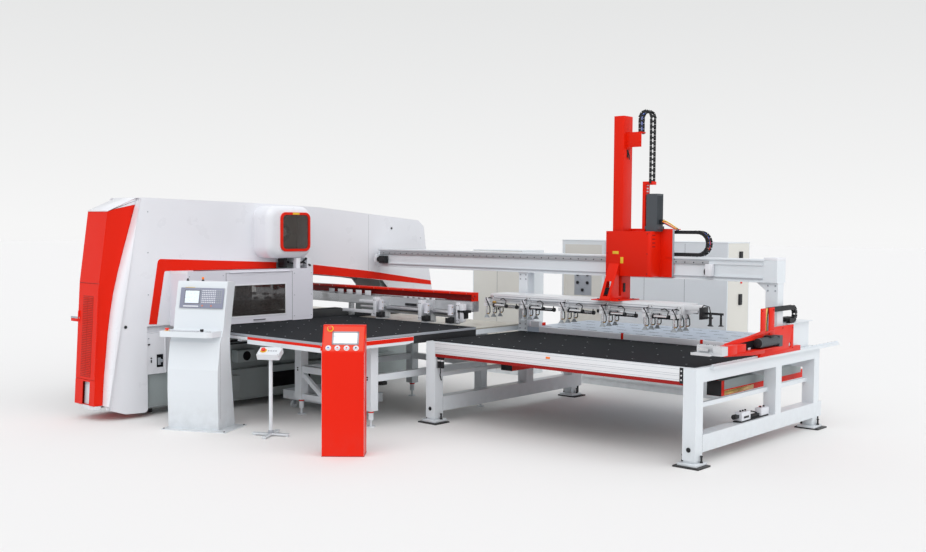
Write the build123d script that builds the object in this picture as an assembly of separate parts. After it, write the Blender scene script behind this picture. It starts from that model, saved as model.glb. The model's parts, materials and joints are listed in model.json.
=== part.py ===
from build123d import *
import math
import os

# Turret punch press with its sheet loader, one STEP file for each piece, in millimetres.
# The origin is on the floor under the punch. X runs along the loader, Y runs away down the press.

os.makedirs("parts", exist_ok=True)

# Driving sizes of the press
FRAME_HALF = 240
NEAR_END = -1990
FAR_END = 2330
THROAT_Y = (-1380, 1590)
THROAT_Z = (800, 1500)
FRAME_BOTTOM = 80
BASE_HALF = 500
BASE_TOP = 440
WAIST_HALF = 400
COVER_OUT = 310
COVER_THICK = 8
COVER_IN = COVER_OUT - COVER_THICK
PANEL = 4

# Clearances
RUNNING = 0.3
FIT = 0.1
PLAY = 5

# Turret, ram and cylinder
TURRET_Y = -500
TURRET_R = 590
STATION_R = 500
STATIONS = 20
AXLE_R = 45
HUB_R = 120
UPPER_DISC = (1120, 1240)
LOWER_DISC = (850, 962)
HEAD_HEIGHT = 24
RAM_R = 50
RAM_TIP = 1300
RAM_TOP = 1900
BORE_R = RAM_R + FIT
POCKET_X = (-120, FRAME_HALF)
POCKET_Y = (-540, 100)
POCKET_FLOOR = 1680

# Table
TABLE_TOP = 972
BRUSH_THICK = 30
BRUSH_BOTTOM = TABLE_TOP - BRUSH_THICK
TABLE_Y = (-1600, 1560)
CENTRE_HALF = 635
WING_START = CENTRE_HALF + RUNNING
WING_END = 2720
REAR_WING_END = -1550
BRUSH_END = 710

# Loader
LEG = 129
LEFT_LEG = (2755, 2755 + LEG)
RIGHT_LEG = (5883, 5883 + LEG)
LEG_ROWS = ((-145, -16), (1440, 1569), (2353, 2482))
LEG_BOTTOM = 60
DECK_TOP = 880
SILL = (125, 280)
BEAM_Y = (1420, 1600)
BEAM_Z = (1580, 1810)
BEAM_X = (390, 5870)


def block(x, y, z):
    """Box between two corners, given as three pairs."""
    size = [b - a for a, b in (x, y, z)]
    middle = [(a + b) / 2 for a, b in (x, y, z)]
    return Pos(*middle) * Box(*size)


def outline(points):
    """Face from points (u, v) or (u, v, corner radius)."""
    face = make_face(Polyline(*[p[:2] for p in points], close=True)).face()
    for p in points:
        if len(p) == 3:
            corner = min(face.vertices(), key=lambda v: math.hypot(v.X - p[0], v.Y - p[1]))
            face = face.fillet_2d(p[2], [corner])
    return face


def side_plate(points, x):
    """Side outline in (y, z) made as thick as the pair x."""
    plane = Plane(origin=(x[0], 0, 0), x_dir=(0, 1, 0), z_dir=(1, 0, 0))
    return extrude(plane * outline(points), x[1] - x[0])


def front_plate(points, y):
    """Front outline in (x, z) made as thick as the pair y."""
    plane = Plane(origin=(0, y[1], 0), x_dir=(1, 0, 0), z_dir=(0, -1, 0))
    return extrude(plane * outline(points), y[1] - y[0])


def floor_plate(points, z):
    """Plan outline in (x, y) made as thick as the pair z."""
    return extrude(Pos(0, 0, z[0]) * outline(points), z[1] - z[0])


def rod(centre, radius, z):
    """Upright round bar over the pair z."""
    return Pos(centre[0], centre[1], (z[0] + z[1]) / 2) * Cylinder(radius, z[1] - z[0])


def rod_x(centre, radius, x):
    """Round bar along X through (y, z)."""
    return Pos((x[0] + x[1]) / 2, *centre) * Rot(0, 90, 0) * Cylinder(radius, x[1] - x[0])


def rod_y(centre, radius, y):
    """Round bar along Y through (x, z)."""
    return Pos(centre[0], (y[0] + y[1]) / 2, centre[1]) * Rot(90, 0, 0) * Cylinder(radius, y[1] - y[0])


def group(*solids):
    """Pieces of one node that stay separate solids."""
    flat = []
    for s in solids:
        flat.extend(s.solids())
    return Compound(children=flat)


def mirrored(shape):
    """The same shape on the other side of the press."""
    return mirror(shape, about=Plane.YZ)


def save(name, shape):
    export_step(shape, f"parts/{name}.step")


# Press frame: welded blocks around the throat, with a pocket for the head
TOP_LINE = ((NEAR_END, 2320), (-440, 2310), (470, 2280), (THROAT_Y[1], 2190), (FAR_END, 2085))


def top_at(y):
    """Height of the frame's upper edge."""
    for (y0, z0), (y1, z1) in zip(TOP_LINE, TOP_LINE[1:]):
        if y0 <= y <= y1:
            return z0 + (z1 - z0) * (y - y0) / (y1 - y0)


def upper_block(y0, y1, low, x):
    """Part of the upper beam between two stations."""
    corners = [(y0, low), (y1, low), (y1, top_at(y1))]
    corners += [(y, z) for y, z in reversed(TOP_LINE) if y0 < y < y1]
    corners += [(y0, top_at(y0))]
    return side_plate(corners, x)


FULL = (-FRAME_HALF, FRAME_HALF)
near_leg = upper_block(NEAR_END, THROAT_Y[0], FRAME_BOTTOM, FULL)
far_leg = upper_block(THROAT_Y[1], FAR_END, FRAME_BOTTOM, FULL)
beam_near = upper_block(THROAT_Y[0], POCKET_Y[0], THROAT_Z[1], FULL)
beam_far = upper_block(POCKET_Y[1], THROAT_Y[1], THROAT_Z[1], FULL)
beam_mid = block(FULL, POCKET_Y, (THROAT_Z[1], POCKET_FLOOR)) - rod((0, 0), BORE_R, (1400, 1800))
beam_back = block((-FRAME_HALF, POCKET_X[0]), POCKET_Y, (POCKET_FLOOR, 2280))
base = block((-BASE_HALF, BASE_HALF), THROAT_Y, (FRAME_BOTTOM, BASE_TOP))
waist = block((-WAIST_HALF, WAIST_HALF), THROAT_Y, (BASE_TOP, THROAT_Z[0]))

# Turret axles hang from the upper beam and stand on the waist
FLANGE_R = 70
upper_axle = rod((0, TURRET_Y), AXLE_R, (1110, THROAT_Z[1]))
axle_flange = rod((0, TURRET_Y), FLANGE_R, (1090, 1110))
lower_axle = rod((0, TURRET_Y), AXLE_R, (THROAT_Z[0], 940))

# The wheel behind the window runs on a stub from the back wall
WHEEL_Y = -290
WHEEL_Z = 2026
WHEEL_R = 118
WHEEL_X = (470, 530)
stub = rod_x((WHEEL_Y, WHEEL_Z), 22, (POCKET_X[0], WHEEL_X[1]))
stub += rod_x((WHEEL_Y, WHEEL_Z), 34, (POCKET_X[0], WHEEL_X[0] - RUNNING))
stub += rod_x((WHEEL_Y, WHEEL_Z), 30, (WHEEL_X[1] + RUNNING, WHEEL_X[1] + 12))
stub += rod_x((WHEEL_Y, WHEEL_Z), 22, (WHEEL_X[1], WHEEL_X[1] + 6))
save("press_frame", group(near_leg, far_leg, beam_near, beam_far, beam_mid, beam_back, base, waist,
                          upper_axle, axle_flange, lower_axle, stub))

# Levelling feet of the press and the loader, and the pad under the punch
PAD_R = 90
PAD_HIGH = 35
feet = []
for x, y in ((0, 0), (-400, -1250), (400, -1250), (-400, 1450), (400, 1450), (0, -1850), (0, 2200)):
    feet.append(rod((x, y), PAD_R, (0, PAD_HIGH)) + rod((x, y), 28, (PAD_HIGH, FRAME_BOTTOM)))
for legs in (LEFT_LEG, RIGHT_LEG):
    middle = sum(legs) / 2
    front = block((middle - 130, middle + 130), (-200, 20), (0, 14))
    front += rod((middle, -80), 22, (14, LEG_BOTTOM))
    back = block((middle - 130, middle + 130), (2330, 2560), (0, 14))
    back += block((middle - 40, middle + 40), (2370, 2470), (14, SILL[0]))
    back += rod((middle + 45, 2510), 12, (14, SILL[0]))
    feet += [front, back]
save("levelling_feet", group(*feet))

# Side covers: a plan strip with the rounded nose, cut to the side outline
NOSE_Y = -1950
NOSE_END = (250, -2520)


def plan_region(inset):
    """Ground plan of the covers, shrunk by inset."""
    flank = COVER_OUT - inset
    nose = (NOSE_END[0] - inset, NOSE_END[1])
    middle = (flank - 16, (NOSE_Y + nose[1]) / 2)
    edge = Polyline((0, nose[1]), (0, 2560), (flank, 2560), (flank, NOSE_Y))
    edge += ThreePointArc((flank, NOSE_Y), middle, nose)
    edge += Line(nose, (0, nose[1]))
    return extrude(make_face(edge), 2500)


NOTCH = ((320, 1660), (-260, 1660))
COVER_SIDE = [(-2462, 130), (-2060, 2400, 25), (-440, 2370, 900), (470, 2340, 900), (2250, 2195, 60),
              (2365, 2110, 30), (2410, 1830), (2535, 1240), (2545, 860), (1640, 860, 40), (1668, 1288, 30),
              (1575, 1381, 30), (1361, 1410), (320, 1506), *NOTCH, (-260, 1587), (-1400, 1592),
              (-1400, 992), (NEAR_END, 992), (NEAR_END, 50, 40), (-2250, 58, 120)]
strip = plan_region(0) - plan_region(COVER_THICK)
whole_skin = strip & side_plate(COVER_SIDE, (100, COVER_OUT))
skin = whole_skin - block((COVER_IN, COVER_OUT), (-500, 60), (1780, 2290))
low_panel = block((FRAME_HALF, 270), (NEAR_END, THROAT_Y[0]), (100, 990))
posts = [block((FRAME_HALF, COVER_IN), (y, y + 40), (z, z + 400))
         for y, z in ((-1900, 1800), (-1000, 1700), (700, 1650), (1900, 1400))]
box_front = (-1761, 922)
service_box = block((270, 300), (-1987, box_front[0]), (470, box_front[1]))
save("front_cover", group(skin, low_panel, service_box, *posts))
save("rear_cover", group(mirrored(whole_skin), mirrored(low_panel), *[mirrored(p) for p in posts]))

# Top cover follows the same line, and the far end is closed with it
ROOF = 6
roof_line = [(NOSE_Y, 2396), (-440, 2368), (470, 2338), (2250, 2193), (2363, 2108), (2408, 1830),
             (2532, 1240), (2542, 860)]
roof_under = [(y - (ROOF if y > 2300 else 0), z - ROOF) for y, z in reversed(roof_line)]
roof = side_plate(roof_line + roof_under, (-COVER_IN, COVER_IN))
nose_half = COVER_IN - 14
nose_roof = side_plate([(-2060, 2398), (NOSE_Y, 2396), (NOSE_Y, 2390), (-2060, 2392)], (-nose_half, nose_half))
save("top_cover", group(roof, nose_roof))

# Red trim: the bands on both flanks and the ring of the head window
NEAR_BAND = [(-1970, 1017), (-1851, 1730, 45), (-225, 1663), (-225, 1588), (-1773, 1595, 25), (-1873, 1011)]
FAR_BAND = [(359, 1621), (1222, 1526), (1360, 1510), (2506, 1352), (2520, 1293), (1361, 1412), (359, 1504)]
RING_Y = (-391, 56)
RING_Z = (1800, 2265)
RING_WIDE = 30
HEAD_FRONT = 600
bands = [side_plate(b, (COVER_OUT, COVER_OUT + PANEL)) for b in (NEAR_BAND, FAR_BAND)]


def rounded_window(y, z, radius, x):
    corners = [(y[0], z[0], radius), (y[1], z[0], radius), (y[1], z[1], radius), (y[0], z[1], radius)]
    return side_plate(corners, x)


def shrink(pair, by):
    return (pair[0] + by, pair[1] - by)


ring_x = (HEAD_FRONT, HEAD_FRONT + 18)
ring = rounded_window(RING_Y, RING_Z, 75, ring_x)
pane_y = shrink(RING_Y, RING_WIDE)
pane_z = shrink(RING_Z, RING_WIDE)
ring -= rounded_window(pane_y, pane_z, 50, ring_x)
save("red_trim", group(*bands, *[mirrored(b) for b in bands], ring))
save("head_window", rounded_window(pane_y, pane_z, 50, (HEAD_FRONT, HEAD_FRONT + 6)))

# Head cover: the bulge over the hydraulic head, open behind
HEAD_Z = (1718, 2342)
HEAD_WALL = 6


def head_plan(by):
    corners = [(COVER_OUT, -565), (330, -560, 15), (520, -500, 60), (HEAD_FRONT - by, -440 + by, 55),
               (HEAD_FRONT - by, 98 - by, 40), (COVER_OUT, 104 - by)]
    corners[1] = (330, -560 + by, 10)
    corners[0] = (COVER_OUT, -565 + by)
    corners[2] = (520 - by, -500 + by, 60)
    return corners


head = floor_plate(head_plan(0), HEAD_Z)
front_edges = [e for e in head.edges() if e.center().X > 345 and abs(e.center().Z - sum(HEAD_Z) / 2) > 300]
head = fillet(front_edges, 38)
head -= floor_plate(head_plan(HEAD_WALL), shrink(HEAD_Z, HEAD_WALL))
head -= rounded_window(shrink(pane_y, 8), shrink(pane_z, 8), 45, (HEAD_FRONT - 40, HEAD_FRONT))
save("head_cover", head)

# Hydraulic cylinder on the pocket floor, and the ram below it
CYL_R = 95
cylinder = rod((0, 0), CYL_R, (POCKET_FLOOR, 2100)) - rod((0, 0), BORE_R, (POCKET_FLOOR, 1960))
manifold = block((-70, 110), (-80, 80), (2100, 2220))
save("hydraulic_cylinder", group(cylinder, manifold))
ram = rod((0, 0), RAM_R, (RAM_TIP + 30, RAM_TOP)) + rod((0, 0), 34, (RAM_TIP, RAM_TIP + 30))
save("punch_ram", ram)

# Turrets: discs of tool stations turning on the fixed axles
station_spots = [(STATION_R * math.sin(math.radians(a)), TURRET_Y + STATION_R * math.cos(math.radians(a)))
                 for a in (i * 360 / STATIONS for i in range(STATIONS))]
axle_bore = rod((0, TURRET_Y), AXLE_R + FIT, (700, 1600))
upper_disc = rod((0, TURRET_Y), TURRET_R, UPPER_DISC) - axle_bore
upper_hub = rod((0, TURRET_Y), HUB_R, (UPPER_DISC[1], THROAT_Z[1] - RUNNING)) - axle_bore
head_top = UPPER_DISC[1] + HEAD_HEIGHT
heads = [rod(spot, 45 if i % 2 else 30, (UPPER_DISC[1], head_top)) for i, spot in enumerate(station_spots)]
save("upper_turret", group(upper_disc, upper_hub, *heads))
lower_disc = rod((0, TURRET_Y), TURRET_R, LOWER_DISC) - axle_bore
lower_hub = rod((0, TURRET_Y), HUB_R, (THROAT_Z[0] + RUNNING, LOWER_DISC[0])) - axle_bore
for i, spot in enumerate(station_spots):
    lower_disc -= rod(spot, 40 if i % 2 else 26, (LOWER_DISC[1] - 12, LOWER_DISC[1]))
save("lower_turret", group(lower_disc, lower_hub))

# Drive wheel behind the head window
hub_bore = rod_x((WHEEL_Y, WHEEL_Z), 22 + FIT, (400, 600))
wheel = rod_x((WHEEL_Y, WHEEL_Z), WHEEL_R, (WHEEL_X[0] + 15, WHEEL_X[1] - 15))
wheel += rod_x((WHEEL_Y, WHEEL_Z), 45, WHEEL_X)
for angle in range(0, 360, 60):
    spoke = (WHEEL_Y + 80 * math.cos(math.radians(angle)), WHEEL_Z + 80 * math.sin(math.radians(angle)))
    wheel -= rod_x(spoke, 18, WHEEL_X)
save("drive_wheel", wheel - hub_bore)

# Turret guard on the flank of the press, with a lift-up door
GUARD_X = (640, 650)
GUARD_ROOF = (1568, 1584)
GUARD_Y = (-1703, 66)
DOOR_Y = (-1196, -254)
DOOR_Z = (985, 1564)
GUARD_LOW = 980
roof_plan = [(COVER_OUT, GUARD_Y[0]), (GUARD_X[1], GUARD_Y[0]), (GUARD_X[1], GUARD_Y[1]),
             (FRAME_HALF, GUARD_Y[1]), (FRAME_HALF, THROAT_Y[0]), (COVER_OUT, THROAT_Y[0])]
guard_roof = floor_plate(roof_plan, GUARD_ROOF)
guard_lip = block(GUARD_X, GUARD_Y, (GUARD_ROOF[1], 1597))
near_fascia = block(GUARD_X, (GUARD_Y[0], DOOR_Y[0] - PLAY), (GUARD_LOW, GUARD_ROOF[0]))
far_corner = [(DOOR_Y[1] + PLAY, GUARD_LOW), (GUARD_Y[1], GUARD_LOW, 25),
              (GUARD_Y[1], GUARD_ROOF[0]), (DOOR_Y[1] + PLAY, GUARD_ROOF[0])]
far_fascia = side_plate(far_corner, GUARD_X)
near_side = block((COVER_OUT, GUARD_X[0]), (GUARD_Y[0], GUARD_Y[0] + 10), (GUARD_LOW, GUARD_ROOF[0]))
far_side = block((COVER_OUT + 4, GUARD_X[0]), (GUARD_Y[1] - 10, GUARD_Y[1]), (1400, GUARD_ROOF[0]))
PIN_R = 3
KNUCKLE_R = 6.5
PIN_X = GUARD_X[1] + 7
PIN_Z = 1570
KNUCKLES = 5


def knuckle_runs(start, end, fixed):
    """Every other length of a hinge, with a gap of a millimetre between them."""
    step = (end - start) / KNUCKLES
    first = 0 if fixed else 1
    return [(start + i * step, start + (i + 1) * step - 1) for i in range(first, KNUCKLES, 2)]


guard_hinge = rod_y((PIN_X, PIN_Z), PIN_R, (DOOR_Y[0] + 40, DOOR_Y[1] - 40))
for run in knuckle_runs(DOOR_Y[0] + 40, DOOR_Y[1] - 40, True):
    guard_hinge += rod_y((PIN_X, PIN_Z), KNUCKLE_R, run)
    guard_hinge += block((GUARD_X[1], GUARD_X[1] + 3), run, (PIN_Z, 1594))
save("turret_guard", group(guard_roof, guard_lip, near_fascia, far_fascia, near_side, far_side, guard_hinge))

GLASS_Y = (-1130, -355)
GLASS_Z = (1068, 1420)
door = block(GUARD_X, DOOR_Y, DOOR_Z) - rounded_window(GLASS_Y, GLASS_Z, 8, GUARD_X)
for run in knuckle_runs(DOOR_Y[0] + 40, DOOR_Y[1] - 40, False):
    leaf = rod_y((PIN_X, PIN_Z), KNUCKLE_R, run)
    leaf += block((GUARD_X[1], GUARD_X[1] + 3), run, (1540, PIN_Z))
    door += leaf - rod_y((PIN_X, PIN_Z), PIN_R + FIT, run)
save("guard_door", door)
save("guard_window", rounded_window(GLASS_Y, GLASS_Z, 8, (643, 647)))

# End cabinet: sloped front, hinged door below
FRONT_FOOT = (-2564, 170)
FRONT_KNEE = (-2490, 1476)
FRONT_HEAD = (-2384, 2241)
CAB_HALF = 200
CAB_SHEET = 4
CAB_DOOR_LOW = 270
KICK_NOTCH_X = (-45, 97)
KICK_NOTCH_TOP = 250
side_line = [FRONT_FOOT, FRONT_KNEE, FRONT_HEAD, (-2060, 2381), (NEAR_END, 2381), (NEAR_END, FRONT_FOOT[1])]
cab_side = side_plate(side_line, (CAB_HALF - CAB_SHEET, CAB_HALF))
lean = math.degrees(math.atan2(FRONT_KNEE[0] - FRONT_FOOT[0], FRONT_KNEE[1] - FRONT_FOOT[1]))
slope = math.hypot(FRONT_KNEE[0] - FRONT_FOOT[0], FRONT_KNEE[1] - FRONT_FOOT[1])
tilt = Pos(0, *FRONT_FOOT) * Rot(-lean, 0, 0)
inner_x = (-CAB_HALF, CAB_HALF)
upper_front = side_plate([FRONT_KNEE, FRONT_HEAD, (FRONT_HEAD[0] - 4, FRONT_HEAD[1] + 1),
                          (FRONT_KNEE[0] - 4, FRONT_KNEE[1])], inner_x)
kick_skin = (-CAB_SHEET, 0)
kick = [tilt * block((-CAB_HALF, KICK_NOTCH_X[0]), kick_skin, (0, CAB_DOOR_LOW)),
        tilt * block((KICK_NOTCH_X[1], CAB_HALF), kick_skin, (0, CAB_DOOR_LOW)),
        tilt * block(KICK_NOTCH_X, kick_skin, (KICK_NOTCH_TOP, CAB_DOOR_LOW))]
cab_roof = side_plate([(FRONT_HEAD[0], FRONT_HEAD[1]), (-2060, 2381), (NEAR_END, 2381),
                       (NEAR_END, 2385), (-2061, 2385), (FRONT_HEAD[0] - 4, FRONT_HEAD[1] + 1)], inner_x)
cab_floor = block((-CAB_HALF + CAB_SHEET, CAB_HALF - CAB_SHEET), (-2550, NEAR_END), (170, 174))
CAB_PIN = (CAB_HALF + 6, -10)
CAB_DOOR_Z = (CAB_DOOR_LOW + 4, slope - 6)
cab_hinge = rod(CAB_PIN, PIN_R, (CAB_DOOR_Z[0] + 40, CAB_DOOR_Z[1] - 40))
for run in knuckle_runs(CAB_DOOR_Z[0] + 40, CAB_DOOR_Z[1] - 40, True):
    cab_hinge += rod(CAB_PIN, 6, run) + block((CAB_HALF, CAB_HALF + 3), (-10, 20), run)
save("end_cabinet", group(cab_side, mirrored(cab_side), upper_front, *kick, cab_roof, cab_floor, tilt * cab_hinge))
cab_door = block((-CAB_HALF + 1, CAB_HALF - 1), (-CAB_SHEET, 0), CAB_DOOR_Z)
cab_door += block((-188, -168), (-16, -CAB_SHEET), (900, 1000))
for run in knuckle_runs(CAB_DOOR_Z[0] + 40, CAB_DOOR_Z[1] - 40, False):
    leaf = rod(CAB_PIN, 6, run) + block((180, CAB_PIN[0]), (-7, -CAB_SHEET), run)
    cab_door += leaf - rod(CAB_PIN, PIN_R + FIT, run)
save("end_cabinet_door", tilt * cab_door)

# Centre table round the turret, slotted for the feet of the carriage
SLOT_X = (440, 500)
SLOT_Y = (60, 1560)
plan = [(-CENTRE_HALF, TABLE_Y[0]), (-320, TABLE_Y[0]), (-320, -1370), (320, -1370), (320, TABLE_Y[0]),
        (CENTRE_HALF, TABLE_Y[0]), (CENTRE_HALF, TABLE_Y[1]), (-CENTRE_HALF, TABLE_Y[1])]
table_z = (BRUSH_BOTTOM, TABLE_TOP)
centre = floor_plate(plan, table_z) - rod((0, TURRET_Y), TURRET_R + 10, (900, 1000))
slot = block(SLOT_X, SLOT_Y, (900, 1000))
centre -= slot
centre -= mirrored(slot)
props = [rod((x, y), 30, (THROAT_Z[0], BRUSH_BOTTOM)) for x in (-350, 350) for y in (-1250, 300, 900, 1450)]
save("centre_table", group(centre, *props))

# Brush tables on both sides
front_brush = block((WING_START, WING_END), (TABLE_Y[0], BRUSH_END), table_z)
rear_brush = block((REAR_WING_END, -WING_START), (TABLE_Y[0], BRUSH_END), table_z)
save("brush_tables", group(front_brush, rear_brush))
DECK_LOW = BRUSH_BOTTOM
front_deck = block((WING_START, WING_END), (BRUSH_END, TABLE_Y[1]), (DECK_LOW, TABLE_TOP - 14))
rear_deck = block((REAR_WING_END, -WING_START), (BRUSH_END, TABLE_Y[1]), (DECK_LOW, TABLE_TOP - 14))
save("deck_plates", group(front_deck, rear_deck))

# Table frames: skirts all round, with cross beams that carry the tops
SKIRT_DEEP = 872
SKIRT_START = 1566
BEAM_LOW = 882
skirt_front = block((SKIRT_START, WING_END), (TABLE_Y[0], -1560), (SKIRT_DEEP, BRUSH_BOTTOM))
rim_front = block((WING_START, SKIRT_START), (TABLE_Y[0], -1560), (912, BRUSH_BOTTOM))
end_skirt = side_plate([(-1560, SKIRT_DEEP - 10), (-400, SKIRT_DEEP - 10), (-230, 888), (TABLE_Y[1], 888),
                        (TABLE_Y[1], BRUSH_BOTTOM), (-1560, BRUSH_BOTTOM)], (2680, WING_END))
far_rail = block((WING_START, 2680), (1500, TABLE_Y[1]), (BEAM_LOW, BRUSH_BOTTOM))
rails = [block((x, x + 60), (-1560, 1500), (BEAM_LOW, BRUSH_BOTTOM)) for x in (WING_START, 1347, 2470)]
rear_frame = [block((REAR_WING_END, -WING_START), (TABLE_Y[0], -1540), (BEAM_LOW, BRUSH_BOTTOM)),
              block((REAR_WING_END, -WING_START), (1500, TABLE_Y[1]), (BEAM_LOW, BRUSH_BOTTOM)),
              block((REAR_WING_END, REAR_WING_END + 60), (-1540, 1500), (BEAM_LOW, BRUSH_BOTTOM)),
              block((-WING_START - 60, -WING_START), (-1540, 1500), (BEAM_LOW, BRUSH_BOTTOM))]
save("table_frames", group(skirt_front, rim_front, end_skirt, far_rail, *rails, *rear_frame))

# Table legs with their ties, brace and adjustable feet, and the low scrap tray beside them
LEG_A = (1325, 1430)
LEG_B = (2450, 2555)
LEG_Y = (-770, -665)
LEG_FAR = (1000, 1105)
TIE = (473, 545)


def table_leg(x, y, low=110):
    """Square leg on a screw foot."""
    mid = (sum(x) / 2, sum(y) / 2)
    return [block(x, y, (low + 60, BEAM_LOW)), rod(mid, 28, (low - 40, low + 60)) + rod(mid, 45, (0, 10))
            + rod(mid, 12, (10, low - 40))]


legs = table_leg(LEG_A, LEG_Y) + table_leg(LEG_B, LEG_Y) + table_leg(LEG_A, LEG_FAR) + table_leg(LEG_B, LEG_FAR)
rear_x = (REAR_WING_END, REAR_WING_END + 100)
legs += table_leg(rear_x, LEG_Y) + table_leg(rear_x, LEG_FAR)
ties = [block((LEG_A[1], LEG_B[0]), (-750, -690), TIE), block((LEG_A[1], LEG_B[0]), (1020, 1080), TIE),
        block((LEG_B[0] + 20, LEG_B[1] - 20), (LEG_Y[1], LEG_FAR[0]), TIE),
        block((LEG_A[0] + 20, LEG_A[1] - 20), (LEG_Y[1], LEG_FAR[0]), TIE),
        block((LEG_A[1], LEG_B[0]), (-750, -690), (174, 234)),
        block((rear_x[0] + 20, rear_x[1] - 20), (LEG_Y[1], LEG_FAR[0]), TIE)]
brace = front_plate([(LEG_A[1], TIE[0]), (LEG_A[1], TIE[0] - 60), (1700, 234), (1780, 234)], (-740, -700))
TRAY_X = (860, 1880)
TRAY_Y = (-560, 60)
TRAY_Z = (105, 205)
tray = block(TRAY_X, TRAY_Y, TRAY_Z) - block(shrink(TRAY_X, 6), shrink(TRAY_Y, 6), (111, 205))
castors = []
for x in (TRAY_X[0] + 120, TRAY_X[1] - 120):
    for y in (TRAY_Y[0] + 60, TRAY_Y[1] - 20):
        castors.append(rod((x, y), 20, (85, TRAY_Z[0])))
        castors.append(block((x - 16, x + 16), (y - 6, y + 6), (48, 85)) + rod_x((y, 42), 42, (x - 12, x + 12)))
save("table_legs", group(*legs, *ties, brace, tray, *castors))

# Cross carriage: rails on the waist, beam with its feet, saddle and clamps
RAIL_X = (458, 482)
RAIL_Y = (60, 1555)
LEDGE = (770, THROAT_Z[0])
RAIL_TOP = 824
ledge = block((WAIST_HALF, 520), RAIL_Y, LEDGE)
rail = block(RAIL_X, RAIL_Y, (THROAT_Z[0], RAIL_TOP))
save("y_rails", group(ledge, rail, mirrored(ledge), mirrored(rail)))

CROSS_X = (-1450, 2585)
CROSS_Y = (820, 910)
CROSS_Z = (1130, 1250)
FOOT_X = (446, 494)
shoe = block(FOOT_X, CROSS_Y, (THROAT_Z[0] + RUNNING, 850))
shoe -= block((RAIL_X[0] - RUNNING, RAIL_X[1] + RUNNING), CROSS_Y, (THROAT_Z[0], RAIL_TOP + RUNNING))
post = block(FOOT_X, (835, 895), (850, CROSS_Z[0]))
SADDLE_RAILS = ((1152, 1168), (1214, 1230))
guides = [block((CROSS_X[0] + 10, CROSS_X[1] - 5), (812, CROSS_Y[0]), z) for z in SADDLE_RAILS]
save("y_beam", group(block(CROSS_X, CROSS_Y, CROSS_Z), shoe, post, mirrored(shoe), mirrored(post), *guides))

HOOD_Y = (790, 905)
HOOD_Z = (CROSS_Z[1], 1351)
hood_x = (CROSS_X[0], CROSS_X[1])
hood = block(hood_x, HOOD_Y, (HOOD_Z[1] - 6, HOOD_Z[1])) + block(hood_x, (899, 905), HOOD_Z)
hood += block((hood_x[1] - 6, hood_x[1]), HOOD_Y, HOOD_Z) + block((hood_x[0], hood_x[0] + 6), HOOD_Y, HOOD_Z)
save("y_beam_cover", hood)

SADDLE_X = (300, 2580)
SADDLE_Y = (796, CROSS_Y[0] - RUNNING)
saddle = block(SADDLE_X, SADDLE_Y, (1140, 1242))
for z in SADDLE_RAILS:
    saddle -= block(SADDLE_X, (812 - RUNNING, CROSS_Y[0]), (z[0] - RUNNING, z[1] + RUNNING))
save("x_saddle", saddle)

CLAMPS = ((1195, -1), (1965, -1), (2345, 1))
JAW_PIN = (735, 1040)
JAW_Y = (645, 750)
bodies = []
jaws = []
for x, side in CLAMPS:
    plate = block((x + side * 80 - 28, x + side * 80 + 28), (740, SADDLE_Y[0]), (1000, 1235))
    spine = block((x - 55, x + 55), (764, SADDLE_Y[0]), (978, 1235))
    lower_jaw = block((x - 45, x + 45), (640, 764), (978, 990))
    cheeks = [block((x + s * 46 - 5, x + s * 46 + 5), (715, 764), (1000, 1070)) for s in (-1, 1)]
    pin = rod_x(JAW_PIN, 6, (x - 51, x + 51))
    cylinder_arm = block((x - 20, x + 20), (700, 764), (1120, 1160))
    can = rod((x, 695), 30, (1085, 1200)) + rod((x, 695), 8, (1074, 1085))
    bodies.append(plate + spine + lower_jaw + cheeks[0] + cheeks[1] + pin + cylinder_arm + can)
    jaw = side_plate([(JAW_Y[0], 996), (JAW_Y[1], 996), (JAW_Y[1], 1058), (690, 1058), (JAW_Y[0], 1020)],
                     (x - 40, x + 40))
    jaws.append(jaw - rod_x(JAW_PIN, 6 + FIT, (x - 60, x + 60)))
save("clamp_bodies", group(*bodies))
save("clamp_jaws", group(*jaws))

# Operator console: folded body on a floor plate, a shelf in front and a panel on the slope
CONSOLE = Pos(1557, -1957, 0) * Rot(0, 0, 26)
BODY_S = (-572, 0)
SLOPE_FOOT = (148, 1232)
SLOPE_HEAD = (212, 1520)
profile = [(0, 10), (-16, 400), (-10, 620), (40, 900), (112, 1030), SLOPE_FOOT, (*SLOPE_HEAD, 12),
           (372, 1520, 30), (292, 1153), (248, 940), (256, 737), (290, 470), (350, 10)]
body = side_plate(profile, BODY_S)
foot_plate = block((-605, 120), (-90, 380), (0, 10))
SHELF_Z = (962, 1022)
shelf_plan = [(-612, -112, 25), (-40, -112, 90), (-12, 60), (-12, 110), (-572, 110), (-612, 60)]
shelf = floor_plate(shelf_plan, SHELF_Z)
EYE_S = -545
for x, z in ((EYE_S, 1022), (-150, 1022)):
    shelf -= rod((x, -60), 11 + RUNNING, (SHELF_Z[0] + 20, SHELF_Z[1]))
save("console_body", CONSOLE * (body + shelf + foot_plate))


def on_slope(z):
    """Point of the console's sloped face at the height z."""
    part = (z - SLOPE_FOOT[1]) / (SLOPE_HEAD[1] - SLOPE_FOOT[1])
    return (SLOPE_FOOT[0] + part * (SLOPE_HEAD[0] - SLOPE_FOOT[0]), z)


PANEL_FOOT = on_slope(1242)
PANEL_HEAD = on_slope(1452)
panel = side_plate([PANEL_FOOT, PANEL_HEAD, (PANEL_HEAD[0] - 14, PANEL_HEAD[1] + 2),
                    (PANEL_FOOT[0] - 14, PANEL_FOOT[1] + 2)], (-520, -25))


def mushroom(centre, z, radius):
    """Stop button: stem in its hole with the cap above."""
    cap = rod(centre, radius, (z + 12, z + 28))
    cap = fillet(cap.edges().sort_by(Axis.Z)[-1], 6)
    return rod(centre, 11, (z - 12, z + 12)) + cap


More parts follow.
